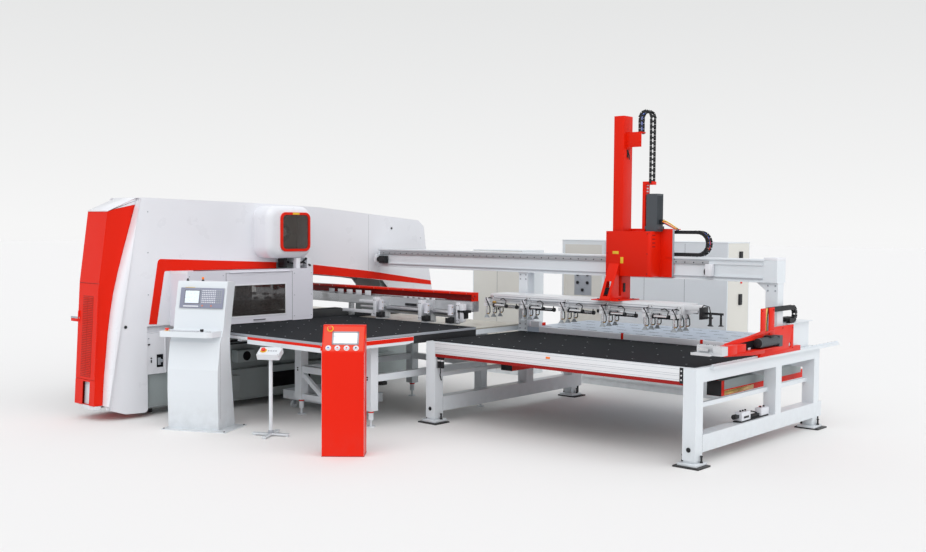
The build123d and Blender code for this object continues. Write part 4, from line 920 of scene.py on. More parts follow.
def guard():
    """Turret guard: rolled edge, joint, glazing bead and hinge screws."""
    bead = Bench("guard_glazing_bead", WHITE, edge=0.0015, body="lift_door")
    y, z = (PANE.front, PANE.back), (PANE.foot, PANE.top)
    for a, b in (((y[0] - 0.012, y[1] + 0.012), (z[0] - 0.012, z[0] + 0.002)),
                 ((y[0] - 0.012, y[1] + 0.012), (z[1] - 0.002, z[1] + 0.012)),
                 ((y[0] - 0.012, y[0] + 0.002), z), ((y[1] - 0.002, y[1] + 0.012), z)):
        bead.block((PANE.right + 0.001, PANE.right + 0.0065), a, b)
    bead.show()
    pull = Bench("guard_door_pull", BLACK, edge=0.003, body="lift_door")
    pull.tube([(0.65, -0.82, 1.018), (0.668, -0.815, 1.018), (0.668, -0.665, 1.018), (0.65, -0.66, 1.018)],
              0.005, 12)
    pull.show()
    blocks("guard_joints", SEAM, [
        ((PANE.right + 0.0026, PANE.right + 0.0036), (-1.2035, -1.1975), (GUARD.foot, 1.566)),
        ((PANE.right + 0.0026, PANE.right + 0.0036), (-0.2535, -0.249), (GUARD.foot, 1.566))])
    screws("guard_screws", [(0.6505, y, z) for y in (-1.68, -1.24) for z in (1.01, 1.28, 1.54)]
           + [(0.6505, y, z) for y in (-0.22, 0.04) for z in (1.03, 1.28, 1.54)], (1, 0, 0), height=0.0025,
           material=GREY)
    blocks("guard_roof_fold", WHITE, [
        ((COVER.right - 0.005, PANE.right + 0.0045), (GUARD.front - 0.0015, GUARD.front + 0.0025),
         (1.566, GUARD.top - 0.0005))], edge=0.003)
    blocks("guard_inner_cylinder", RED, [((0.52, 0.56), (-0.43, -0.385), (1.35, 1.43))], edge=0.003)
    rounds("guard_inner_knob", BRIGHT, [
        ([(0.017, 0), (0.017, 0.012), (0.008, 0.016)], (0.56, -0.405, 1.375), "x", 20)], edge=0.002)


STATIONS = 20
STATION_RADIUS = 0.5
TURRET_Y = -0.5


def turret():
    """Tool holders, punch heads and dies round both turrets, and the rim screws of the upper one."""
    heads = Bench("turret_tool_heads", BRIGHT, body="turret_top")
    dies = Bench("turret_dies", BLACK_STEEL, body="turret_bottom")
    holders = Bench("turret_holders", STEEL, body="turret_top")
    for k in range(STATIONS):
        a = 2 * math.pi * k / STATIONS
        x, y = STATION_RADIUS * math.sin(a), TURRET_Y + STATION_RADIUS * math.cos(a)
        head_r, holder_r, die_r = (0.04, 0.052, 0.038) if k % 2 else (0.026, 0.038, 0.024)
        # the ram's foot stands on the first station
        if k:
            heads.turned([(head_r, 1.2635), (head_r, 1.2665), (0.014, 1.268), (0.014, 1.272)], (x, y, 0),
                         sides=20)
        holders.turned([(holder_r, 1.098), (holder_r, PUNCHES.foot - 0.0005)], (x, y, 0), sides=20)
        dies.turned([(die_r, 0.9505), (die_r, DIES.top - 0.001), (0.016, DIES.top - 0.0005)], (x, y, 0),
                    sides=20)
    for b in (heads, dies, holders):
        b.show()
    ways = [(math.sin(a), math.cos(a), 0) for a in (math.radians(6 * k + 3) for k in range(60))]
    rim = [(0.591 * x, TURRET_Y + 0.591 * y, 1.18) for x, y, _ in ways]
    screws("turret_rim_screws", rim, ways, radius=0.008, height=0.003, body="turret_top")


def table():
    """Brush field, pale rim, red skirt stripe and screws of the press table."""
    blocks("table_skirt_stripe", RED, [
        ((1.567, TABLE.right + 0.0008), (TABLE.front - 0.0008, TABLE.front + 0.0005),
         (0.917, TABLE.foot + 0.0035)),
        ((TABLE.right - 0.0005, TABLE.right + 0.0008), (TABLE.front, -0.305),
         (0.893, TABLE.foot - 0.0055))], edge=0.001)
    blocks("table_dark_skirt", BLACK, [
        ((TABLE.right - 0.0005, TABLE.right + 0.0012), (-0.303, TABLE.back - 0.001),
         (LEDGE.foot, TABLE.foot + 0.003))], edge=0.001)
    blocks("table_edge_strip", GREY, [
        ((CENTRE.right + 0.0008, TABLE.right + 0.0003), (TABLE.front - 0.001, -1.59),
         (TABLE.foot + 0.0035, TABLE.top - 0.0005)),
        ((2.711, TABLE.right + 0.0012), (TABLE.front, TABLE.back - 0.001),
         (TABLE.foot + 0.0035, TABLE.top - 0.0005)),
        ((TABLE.left - 0.0012, -1.541), (TABLE.front, TABLE.back - 0.001),
         (TABLE.foot + 0.0035, TABLE.top - 0.0005)),
        ((TABLE.left, CENTRE.left - 0.0008), (TABLE.front - 0.001, -1.59),
         (TABLE.foot + 0.0035, TABLE.top - 0.0005))], edge=0.0015)
    for name, x, y in (("front", (0.6353, 2.72), (-1.59, 0.7)), ("rear", (-1.54, -0.6353), (-1.59, 0.7)),
                       ("far_left", (-0.635, -0.502), (0.075, 1.55)),
                       ("far_middle", (-0.438, 0.438), (0.115, 1.55)),
                       ("far_right", (0.502, 0.635), (0.075, 1.55))):
        brush_field(name + "_brush", x, y, 0.9605, 0.972, 0.026)
    studs = [(x, y, TABLE.top + 0.0002) for x in steps(0.8, 2.6, 7) for y in steps(-1.45, 0.55, 7)]
    screws("table_board_screws", studs, (0, 0, 1), radius=0.008, height=0.0008, material=STEEL, sides=12)
    deck = [(x, y, PLATES.top + 0.0005) for x in steps(0.7, 2.66, 9) for y in (0.74, 1.13, 1.52)]
    screws("table_deck_screws", deck, (0, 0, 1), radius=0.007, height=0.001, material=STEEL)
    joints = Bench("table_deck_joints", SHADOW)
    for x in (1.3, 2.0):
        joints.block((x - 0.0015, x + 0.0015), (TABLE.back + 0.002, PLATES.back - 0.002),
                     (PLATES.top - 0.0005, PLATES.top + 0.0004))
    joints.show()


def brush_field(name, x, y, low, high, pitch):
    """Grid of tufts over a board, the rows set half a pitch apart."""
    points = []
    rows = int((y[1] - y[0]) / pitch)
    columns = int((x[1] - x[0]) / pitch)
    for i in range(columns):
        for k in range(rows):
            shift = pitch / 2 if k % 2 else 0
            points.append((x[0] + pitch * (i + 0.25) + shift, y[0] + pitch * (k + 0.5), low))
    return grown(name, "machine", BRISTLE, TUFTS, spots(points, (0, 0, 1)), Radius=pitch * 0.36,
                 Height=high - low, Lean=0.12, Seed=7)


LEG_X = (1.3775, 2.5025)
REAR_LEG_X = -1.5
LEG_Y = (-0.7175, 1.0525)


def table_frame():
    """Collars above the screw feet, and the bolts of the leg frames."""
    rings = Bench("leg_foot_rings", RED, edge=0.002)
    collars = Bench("leg_foot_collars", FRAME, edge=0.002)
    for x, y in [(x, y) for y in LEG_Y for x in LEG_X] + [(REAR_LEG_X, y) for y in LEG_Y]:
        rings.turned([(0.0305, 0.148), (0.0305, 0.162)], (x, y, 0))
        collars.turned([(0.034, 0.164), (0.034, 0.1695)], (x, y, 0))
    rings.show()
    collars.show()
    bolts = [(x, -0.7705, z) for x in LEG_X for z in (0.5, 0.525, 0.84, 0.865)]
    screws("table_leg_bolts", bolts, (0, -1, 0), radius=0.009, height=0.006, sides=6)


def under_table():
    """Boxes, openings and pipes on the side of the base, and the motor that drives the beam."""
    blocks("under_table_boxes", BASE, [
        ((0.5005, 0.56), (-1.15, -0.95), (0.2, 0.38)),
        ((0.4005, 0.52), (-0.95, -0.7), (0.52, 0.66)),
        ((0.4005, 0.55), (-0.35, 0.02), (0.5, 0.62)),
        ((0.4005, 0.46), (0.3, 0.7), (0.5, 0.72)),
        ((0.5005, 0.53), (-1.37, 1.58), (0.43, 0.4405)),
        ((0.5005, 0.515), (-1.37, 1.58), (0.081, 0.096))], edge=0.004)
    dark = Bench("under_table_openings", SHADOW, edge=0.001)
    dark.block((0.4003, 0.4012), (-1.3, -1.18), (0.52, 0.7))
    dark.turned([(0.055, 0), (0.055, 0.002)], (0.5202, -0.82, 0.59), "x", 32)
    dark.block((0.5003, 0.5012), (-0.45, 0.15), (0.18, 0.36))
    dark.block((0.5003, 0.5012), (0.55, 1.15), (0.18, 0.36))
    dark.show()
    pipes = Bench("under_table_pipes", BLACK)
    pipes.tube([(0.43, -1.36, 0.765), (0.43, -0.4, 0.765), (0.43, 0.05, 0.765)], 0.012)
    pipes.tube([(0.455, -1.36, 0.735), (0.455, -0.2, 0.735), (0.44, 1.55, 0.735)], 0.009)
    pipes.show()
    motor = Bench("y_drive_motor", MOTOR, edge=0.004)
    motor.block((0.585, 0.705), (1.3, 1.44), (0.6, 0.72))
    motor.turned([(0.055, 1.05), (0.055, 1.3)], (0.645, 0, 0.66), "y", 28)
    motor.block((0.5205, 0.6), (1.28, 1.34), (0.6, 0.79))
    motor.show()


def scrap_tray():
    """Castor forks and rim of the scrap tray."""
    wheels = Bench("tray_castor_forks", GREY, edge=0.002)
    for x in (0.98, 1.76):
        for y in (-0.5, 0.04):
            wheels.block((x - 0.02, x - 0.0165), (y - 0.022, y + 0.022), (0.04, 0.088))
            wheels.block((x + 0.0165, x + 0.02), (y - 0.022, y + 0.022), (0.04, 0.088))
            wheels.turned([(0.026, 0.086), (0.026, 0.104)], (x, y, 0), sides=20)
    wheels.show()
    blocks("tray_rim", FRAME, [
        ((0.855, 1.885), (-0.565, -0.553), (0.196, 0.208)),
        ((0.855, 1.885), (0.053, 0.065), (0.196, 0.208)),
        ((0.855, 0.867), (-0.565, 0.065), (0.196, 0.208)),
        ((1.873, 1.885), (-0.565, 0.065), (0.196, 0.208))], edge=0.002)

# cross carriage and clamps


def carriage():
    """What shows under the red hood: painted shade on its back wall, plates, tray, tubes, cylinders and
    sensors.
    """
    blocks("hood_edge", RED, [
        ((HOOD.left, HOOD.right), (HOOD.front - 0.0005, HOOD.front + 0.0025), (1.326, HOOD.top))],
            edge=0.002, body="cross_beam")
    # painted shade: a dark red sheet on the hood's inner back wall stands for the shade under the red hood
    blocks("hood_back_painted_shade", DARK_RED, [
        ((HOOD.left + 0.007, HOOD.right - 0.007), (HOOD.back - 0.008, HOOD.back - 0.0061),
         (HOOD.foot + 0.001, HOOD.top - 0.007))], body="cross_beam")
    ladder = Bench("hood_ladder_plates", WHITE, edge=0.002, body="cross_beam")
    for x in steps(0.12, 0.8, 5):
        ladder.block((x, x + 0.105), (HOOD.front - 0.0005, CLAMPS.back - 0.0015),
                     (CLAMPS.top + 0.0055, 1.302))
    for x in steps(1.48, 1.95, 6):
        ladder.block((x, x + 0.055), (HOOD.front - 0.0005, CLAMPS.back - 0.0015),
                     (CLAMPS.top + 0.0055, 1.261))
    ladder.show()
    blocks("hood_chain_tray", WHITE, [
        ((-1.3, 2.1), (0.858, 0.892), (HOOD.foot + 0.0005, HOOD.foot + 0.006))], edge=0.001,
            body="cross_beam")
    tubes = Bench("carriage_tubes", ALUMINIUM, body="saddle")
    tubes.tube([(0.75, 0.775, 1.105), (2.4, 0.775, 1.105)], 0.016, 16)
    tubes.tube([(0.75, 0.785, 1.06), (2.3, 0.785, 1.06)], 0.011, 16)
    tubes.show()
    rounds("carriage_cylinder", STEEL, [
        ([(0.02, 1.24), (0.034, 1.245), (0.034, 1.905), (0.02, 1.91)], (0, 0.7585, 1.105), "x", 32),
        ([(0.02, 2.015), (0.034, 2.02), (0.034, 2.27), (0.02, 2.275)], (0, 0.7585, 1.105), "x", 32)],
            edge=0.003, body="saddle")
    blocks("carriage_sensor_boxes", BLACK, [
        ((1.52, 1.7), (0.775, CLAMPS.back - 0.0005), (1.15, 1.18)),
        ((2.44, 2.575), (0.7, CLAMPS.back - 0.0005), (1.12, 1.15)),
        ((2.44, 2.53), (0.715, CLAMPS.back - 0.0005), (1.05, 1.12))], edge=0.003, body="saddle")
    blocks("carriage_white_brackets", WHITE, [
        ((0.72, 1.1), (0.76, CLAMPS.back - 0.0005), (1.15, 1.185)),
        ((0.96, 1.115), (0.745, HOOD.front), (0.99, 1.02)),
        ((0.4, 0.96), (0.77, CLAMPS.back - 0.0005), (1.02, 1.06))], edge=0.003, body="saddle")


CLAMP_PLACES = ((1.195, -1), (1.965, -1), (2.345, 1))


def clamps():
    """Side plates, cylinders, rods and air fittings of the three clamps, and the pads of their jaws."""
    plates, cans, jaws, rods, valves = (Bench("clamp_side_plates", WHITE, edge=0.003, body="saddle"),
            Bench("clamp_cylinders", LAVENDER, body="saddle"),
            Bench("clamp_grip_pads", BLACK, edge=0.003, body="jaws"),
            Bench("clamp_rods", BRIGHT, body="saddle"), Bench("clamp_air_fittings", BRASS, body="saddle"))
    for x, side in CLAMP_PLACES:
        at = x + side * 0.088
        plates.block((at - 0.026, at + 0.026), (0.66 if side < 0 else 0.715, 0.7425),
                     (0.999, CLAMPS.top + 0.001))
        if side > 0:
            plates.block((at + 0.045, at + 0.095), (0.7, 0.76), (1.02, 1.225))
        cans.turned([(0.0355, 1.088), (0.0355, 1.096), (0.0335, 1.098), (0.0335, 1.188), (0.0355, 1.19),
                     (0.0355, 1.204), (0.02, 1.208)], (x, 0.692, 0), sides=28)
        rods.turned([(0.0085, 1.0745), (0.0085, 1.09)], (x, 0.695, 0))
        jaws.block((x - 0.0405, x + 0.0405), (CLAMPS.front + 0.0025, CLAMPS.front + 0.0055), (0.9965, 1.0575))
        for z in (1.11, 1.18):
            valves.turned([(0.005, 0), (0.005, 0.008)], (x + 0.033, 0.68, z), "x", 12)
    for b in (plates, cans, jaws, rods, valves):
        b.show()
    screws("clamp_screws", [(x + s * 0.088 + d, 0.6595 if s < 0 else 0.7145, z) for x, s in CLAMP_PLACES
                            for d in (-0.012, 0.012) for z in (1.03, 1.2)], (0, -1, 0), radius=0.005,
           height=0.003, body="saddle")


def hood_fittings():
    """Screws along the hood and the latch at its end."""
    screws("hood_screws", [(x, HOOD.front - 0.0007, 1.339) for x in steps(-1.35, 2.5, 16)], (0, -1, 0),
           radius=0.005, height=0.002, material=STEEL, body="cross_beam")
    end = Bench("hood_end_latch", BLACK, edge=0.002, body="cross_beam")
    end.turned([(0.01, 0), (0.01, 0.004)], (HOOD.right, 0.84, 1.31), "x", 16)
    end.tube([(2.587, 0.82, 1.275), (2.592, 0.8, 1.29), (2.587, 0.8, 1.305)], 0.004)
    end.show()


# consoles


def placed(x, y, degrees):
    """Place of a stand on the floor, turned about its upright."""
    return Matrix.Translation((x, y, 0)) @ Matrix.Rotation(math.radians(degrees), 4, "Z")


# place on the floor along x and y, and turn in degrees
CONSOLE = (1.557, -1.957, 26)
PEDESTAL = (3.534, -1.782, 41)
BUTTON_STAND = (2.13, -1.74, 30)


def console():
    """Screen, keys and sticker on the slope of the console."""
    stand = placed(*CONSOLE)
    slope = math.atan2(0.064, 0.288)
    face = stand @ Matrix.Translation((0, 0.1502, 1.242)) @ Matrix.Rotation(-slope, 4, "X")
    blocks("console_panel", PANEL_GREY, [
        ((-0.52, -0.29), (-0.0185, -0.01), (0.002, 0.212)),
        ((-0.282, -0.025), (-0.0185, -0.01), (0.002, 0.212))], edge=0.003, place=face)
    blocks("console_screen", SCREEN, [((-0.462, -0.302), (-0.0192, -0.018), (0.052, 0.182))], place=face)
    bezel = Bench("console_screen_bezel", SEAM, edge=0.001, place=face)
    for x, z in (((-0.47, -0.294), (0.182, 0.19)), ((-0.47, -0.294), (0.044, 0.052)),
                 ((-0.47, -0.462), (0.044, 0.19)), ((-0.302, -0.294), (0.044, 0.19))):
        bezel.block(x, (-0.0205, -0.018), z)
    bezel.show()
    blocks("console_screen_keys", PALE_KEY, [
        ((-0.475, -0.3), (-0.02, -0.018), (0.012, 0.026))], edge=0.001, place=face)
    keys = [(x, -0.0195, z) for z in steps(0.062, 0.185, 7) for x in steps(-0.262, -0.12, 8)]
    bars("console_keys", keys, (0, -1, 0), (0.013, 0.012, 0.004), PALE_KEY, place=face)
    keys = [(x, -0.0195, z) for z in steps(0.062, 0.185, 7) for x in (-0.095, -0.072, -0.049)]
    bars("console_function_keys", keys, (0, -1, 0), (0.016, 0.012, 0.004), GREY, place=face)
    blocks("console_accent_keys", ORANGE, [
        ((-0.262, -0.25), (-0.022, -0.018), (0.02, 0.032)),
        ((-0.16, -0.148), (-0.022, -0.018), (0.02, 0.032))], edge=0.001, place=face)
    blocks("console_sticker", YELLOW, [
        ((-0.47, -0.36), (-0.017, -0.016), (0.2145, 0.2185))], edge=0.0005, place=face)


def console_top():
    """Lamp and plain cap on the console's top."""
    stand = placed(*CONSOLE)
    lamps = Bench("console_lamp_bases", BLACK, edge=0.001, place=stand)
    glows = Bench("console_lamp", ORANGE, place=stand)
    for x in (-0.495, -0.318):
        lamps.turned([(0.014, 1.5195), (0.014, 1.528), (0.009, 1.53), (0.009, 1.538)], (x, 0.27, 0), sides=20)
    glows.turned([(0.012, 1.538), (0.013, 1.556), (0.008, 1.562)], (-0.318, 0.27, 0), sides=20)
    lamps.turned([(0.008, 1.538), (0.008, 1.545)], (-0.495, 0.27, 0), sides=16)
    lamps.show()
    glows.show()


def console_shelf():
    """Recessed shelf with its keys, stop ring, slots and knob mark, and the joints and floor screws."""
    stand = placed(*CONSOLE)
    blocks("console_shelf_recess", SEAM, [
        ((-0.505, -0.185), (-0.095, -0.035), (1.0218, 1.0228))], place=stand)
    bars("console_shelf_keys", [(x, y, 1.0245) for y in (-0.078, -0.052)
            for x in steps(-0.485, -0.205, 12)], (0, 0, 1), (0.018, 0.018, 0.005), PALE_KEY, place=stand)
    rounds("console_stop_ring", YELLOW_KEY, [
        ([(0.03, 1.0218), (0.03, 1.0245), (0.013, 1.0245), (0.013, 1.0218)], (-0.545, -0.06, 0), "z", 32)],
            edge=0.001, place=stand)
    blocks("console_slots", SHADOW, [
        ((-0.105, -0.05), (-0.07, -0.06), (1.0218, 1.0226)),
        ((-0.105, -0.05), (-0.05, -0.044), (1.0218, 1.0226))], place=stand)
    blocks("console_back_door", SEAM, [
        ((-0.5724, -0.5716), (0.045, 0.048), (0.12, 0.9)),
        ((-0.0004, 0.0006), (0.045, 0.047), (0.12, 0.9))], place=stand)
    blocks("console_knob_mark", PALE_KEY, [
        ((-0.1515, -0.1485), (-0.076, -0.06), (1.0478, 1.0484))], place=stand, body="knob_console")
    screws("console_floor_screws", [(x, y, 0.0105) for x in (-0.585, 0.1) for y in (-0.07, 0.36)],
           (0, 0, 1), radius=0.01, height=0.006, sides=6, place=stand)


def pedestal():
    """Sloped face with its screen, pale edge strips and round keys."""
    stand = placed(*PEDESTAL)
    tilt = math.atan2(0.128, 0.238)
    face = stand @ Matrix.Translation((0, 0, 0.958)) @ Matrix.Rotation(math.pi / 2 - tilt, 4, "X")
    # painted light: the sloped face plate is a lighter copy of the pedestal's red, for the light falling on
    # the slope
    panel = Bench("pedestal_face_plate", LIT_FACE_RED, edge=0.0008, place=face)
    panel.plate([(-0.378, 0.012), (-0.01, 0.012), (-0.01, 0.258), (-0.378, 0.258)], (0.0002, 0.0015), "z")
    panel.show()
    rim = Bench("pedestal_screen_bezel", GREY, edge=0.002, place=face)
    for x, y in (((-0.3, -0.055), (0.188, 0.205)), ((-0.3, -0.055), (0.075, 0.09)),
                 ((-0.3, -0.284), (0.075, 0.205)), ((-0.071, -0.055), (0.075, 0.205))):
        rim.block(x, y, (0.002, 0.0065))
    rim.show()
    blocks("pedestal_screen", PALE_SCREEN, [((-0.285, -0.07), (0.089, 0.189), (0.004, 0.0052))], place=face)
    rings = Bench("pedestal_button_rings", WHITE, edge=0.001, place=face)
    for x in (-0.33, -0.247, -0.163, -0.078):
        rings.turned([(0.026, 0.0013), (0.026, 0.004), (0.0195, 0.0055), (0.0195, 0.0013)], (x, 0.042, 0),
                     sides=32)
    rings.show()
    for i, (x, colour) in enumerate(((-0.33, BLUE_KEY), (-0.247, RED_KEY), (-0.163, RED_KEY),
            (-0.078, BLACK))):
        rounds(f"pedestal_button_mark_{i + 1}", colour, [
            ([(0.008, 0.0108), (0.008, 0.0117)], (x, 0.042, 0), "z", 20)], place=face, body=f"button_{i + 1}")
    rounds("pedestal_stop_ring", YELLOW_KEY, [
        ([(0.03, 0.0013), (0.03, 0.0045), (0.0125, 0.0045), (0.0125, 0.0013)], (-0.322, 0.232, 0), "z",
         32)], edge=0.001, place=face)
    blocks("pedestal_edge_strips", WHITE, [
        ((-0.0004, 0.0008), (-0.0012, 0.01), (0.004, 0.958)),
        ((-0.3888, -0.3876), (-0.0012, 0.01), (0.004, 0.958))], edge=0.0008, place=stand)
    blocks("pedestal_side_key", ORANGE, [
        ((-0.001, 0.006), (0.105, 0.125), (1.075, 1.105))], edge=0.002, place=stand)
    blocks("pedestal_floor_plate", DARK_RED, [
        ((-0.3905, 0.0025), (-0.0025, 0.2225), (0.0, 0.006))], edge=0.002, place=stand)
    rounds("pedestal_back_lock", BLACK, [
        ([(0.012, 0), (0.012, 0.006)], (-0.05, 0.2195, 0.6), "y", 20)], place=stand)


def stand():
    """Small stop box on its post."""
    base = placed(*BUTTON_STAND)
    box = base @ Matrix.Translation((0, -0.01, 0.8)) @ Matrix.Rotation(math.radians(28), 4, "X")
    rounds("stand_stop_ring", YELLOW_KEY, [
        ([(0.034, 0.0615), (0.034, 0.0645), (0.0125, 0.0645), (0.0125, 0.0615)], (-0.062, 0.01, 0), "z",
         32)], edge=0.001, place=box)
    bars("stand_box_keys", [(x, 0.008, 0.0635) for x in (-0.008, 0.018, 0.044, 0.07)], (0, 0, 1),
         (0.016, 0.011, 0.005), GREY, place=box)
    screws("stand_box_screws", [(x, y, 0.0622) for x in (-0.104, 0.104) for y in (-0.05, 0.065)], (0, 0, 1),
           radius=0.005, height=0.002, material=STEEL, place=box)
    rounds("stand_collar", GREY, [
        ([(0.026, 0.0305), (0.026, 0.055), (0.02, 0.06)], (0, 0, 0), "z", 28)], edge=0.002, place=base)


# loader table


def loader_board():
    """Brush field of the loader table with its edges and screws."""
    margin = 0.004
    brush_field("loader_brush", (BOARD.left + margin, BOARD.right - margin),
                (BOARD.front + margin, 1.435 - margin), 0.8805, BOARD.top, 0.03)
    blocks("loader_board_edge", BLACK_STEEL, [
        ((5.8835, BOARD.right + 0.0005), (BOARD.front - 0.0015, BOARD.front + 0.0025),
         (TRESTLES.top + 0.0005, BOARD.top - 0.0002)),
        ((BOARD.right - 0.0015, BOARD.right + 0.0012), (BOARD.front - 0.001, BOARD.back - 0.004),
         (TRESTLES.top + 0.0005, BOARD.top - 0.0002)),
        ((BOARD.left - 0.0015, BOARD.left + 0.0015), (BOARD.front - 0.001, BOARD.back - 0.004),
         (TRESTLES.top + 0.0005, BOARD.top - 0.0002))], edge=0.0015)
    studs = [(x, y, BOARD.top + 0.0002) for x in steps(2.95, 5.8, 11) for y in (0.05, 0.5, 0.95, 1.36)]
    screws("loader_board_screws", studs, (0, 0, 1), radius=0.008, height=0.0006, material=STEEL, sides=12)


def front_profile():
    """Grooved profile along the loader's front with its end cap, lamp and red trim."""
    blocks("loader_front_profile", PROFILE, [
        ((DRAWERS.left, 5.845), (TRESTLES.front - 0.0022, DRAWERS.front + 0.001),
         (0.755, TRESTLES.top - 0.0005))], edge=0.002)
    slots = Bench("loader_front_profile_grooves", GREY)
    for z in (0.77, 0.805, 0.822, 0.864):
        slots.block((DRAWERS.left + 0.001, 5.844), (TRESTLES.front - 0.0026, TRESTLES.front - 0.0018),
                    (z - 0.0013, z + 0.0013))
    slots.show()
    blocks("loader_front_end_cap", BLACK, [
        ((5.845, DRAWERS.right - 0.0005), (TRESTLES.front - 0.003, DRAWERS.front + 0.0015),
         (0.7375, TRESTLES.top - 0.0005))], edge=0.003)
    holes = Bench("loader_front_end_screws", ALUMINIUM)
    for z in (0.77, 0.81, 0.85):
        holes.turned([(0.008, 0), (0.008, 0.003)], (5.864, TRESTLES.front - 0.0055, z), "y", 16)
    holes.show()
    blocks("loader_front_lamp", ORANGE, [
        ((4.365, 4.415), (TRESTLES.front - 0.007, TRESTLES.front - 0.0018), (0.83, 0.85))], edge=0.002)
    # painted shade: a dark red strip stands for the red trim's shaded underside
    blocks("loader_under_trim", DARK_RED, [
        ((DRAWERS.left, DRAWERS.right), (DRAWERS.front - 0.0025, DRAWERS.front + 0.0015), (0.7215, 0.754))],
            edge=0.002)


def trestles():
    """Plugs, joints and feet of the end trestles."""
    plugs = Bench("trestle_plugs", BLACK, edge=0.002)
    for x in (2.8195, 5.9475):
        plugs.turned([(0.022, 0), (0.022, 0.004), (0.014, 0.006)], (x, TRESTLES.front - 0.0065, 0.157), "y",
                     24)
    plugs.show()
    sill = Bench("trestle_sill_edges", SEAM)
    for x in (2.8195, 5.9475):
        sill.block((x - 0.0652, x + 0.0652), (-0.0168, -0.015), (0.127, 0.2795))
    sill.show()
    feet, studs = Bench("loader_foot_flanges", FRAME, edge=0.006), Bench("loader_foot_studs", BLACK_STEEL,
            edge=0.001)
    for x in (2.8195, 5.9475):
        for y in (-0.0805, 2.4175):
            feet.block((x - 0.098, x + 0.098), (y - 0.098, y + 0.098), (0.0145, 0.04))
            feet.block((x - 0.058, x + 0.058), (y - 0.058, y + 0.058), (0.04, 0.126))
            for dx, dy in ((-0.082, -0.02), (0.082, 0.02)):
                studs.turned([(0.009, 0.04), (0.009, 0.105)], (x + dx, y + dy, 0), sides=12)
                studs.turned([(0.016, 0.04), (0.016, TRESTLES.foot - 0.006)], (x + dx, y + dy, 0), sides=6)
                studs.turned([(0.014, 0.092), (0.014, 0.104)], (x + dx, y + dy, 0), sides=6)
    feet.show()
    studs.show()


def stack_deck():
    """Front bar, slots, stops and guide pieces of the stack deck."""
    blocks("stack_deck_front_bar", WHITE, [
        ((3.06, STACK.right), (STACK.front - 0.007, 1.464), (STACK.foot + 0.008, 0.95))], edge=0.003)
    blocks("stack_deck_brown_strip", WORN_BROWN, [
        ((3.55, 3.86), (1.47, 1.51), (STACK.top + 0.0002, STACK.top + 0.0045))], edge=0.002)
    slots = [(x, y, STACK.top + 0.0002) for x in steps(3.05, 5.4, 12) for y in (1.62, 1.9, 2.2, 2.5)]
    bars("stack_deck_slots", slots, (0, 0, 1), (0.12, 0.014, 0.0012), SHADOW)
    dots = Bench("stack_deck_red_stops", RED, edge=0.005)
    for x in (4.209, 5.183):
        dots.block((x - 0.018, x + 0.018), (STACK.front - 0.0085, STACK.front + 0.003),
                   (STACK.foot + 0.008, 0.958))
    dots.show()
    blocks("stack_deck_left_block", WHITE, [
        ((2.93, 3.05), (STACK.front + 0.007, 1.515), (STACK.top + 0.0005, 1.01))], edge=0.004)
    wedge = Bench("stack_deck_left_wedge", RED, edge=0.003)
    wedge.plate([(1.5, 0.9405), (1.75, 0.9405), (1.75, 0.975), (1.5, 0.95)], (STACK.left + 0.005, 2.925), "x")
    wedge.show()


def drawers():
    """Tops, ends and brass strips of the beams under the deck."""
    blocks("deck_beam_brass_strips", BRASS, [
        ((5.7495, 5.752), (0.875, 1.49), (DRAWERS.foot + 0.005, 0.548)),
        ((3.014, 3.0165), (0.875, 1.49), (DRAWERS.foot + 0.005, 0.548))], edge=0.001)
    top = Bench("deck_beam_tops", BASE, edge=0.003)
    for x in (3.036, 5.62):
        top.block((x - 0.002, x + 0.135), (0.868, 2.602), (0.56, 0.652))
    top.show()
    ends = Bench("deck_beam_ends", BLACK_STEEL, edge=0.003)
    for x in ((3.014, 3.168), (5.598, 5.752)):
        ends.block(x, (0.8045, 0.816), (DRAWERS.foot, 0.65))
    ends.show()


def air_unit():
    """Filter and regulator at the left trestle."""
    air = Bench("air_unit_black", BLACK, edge=0.003)
    for x in (2.895, 2.94):
        air.turned([(0.02, 0.6), (0.02, 0.7), (0.026, 0.705), (0.026, 0.735)], (x + 0.01, -0.1, 0), sides=20)
    air.block((2.885, 2.975), (-0.125, -0.07), (0.735, 0.762))
    air.tube([(2.925, -0.1, 0.6), (2.925, -0.1, 0.56), (2.9, -0.08, 0.52), (2.89, -0.05, 0.46)], 0.006)
    air.show()
    bowls = Bench("air_unit_bowls", ALUMINIUM, edge=0.002)
    bowls.turned([(0.022, 0.672), (0.022, 0.69)], (2.905, -0.1, 0), sides=20)
    bowls.turned([(0.022, 0.672), (0.022, 0.69)], (2.95, -0.1, 0), sides=20)
    bowls.block((2.8845, 2.89), (-0.13, -0.065), (0.6, 0.765))
    bowls.show()


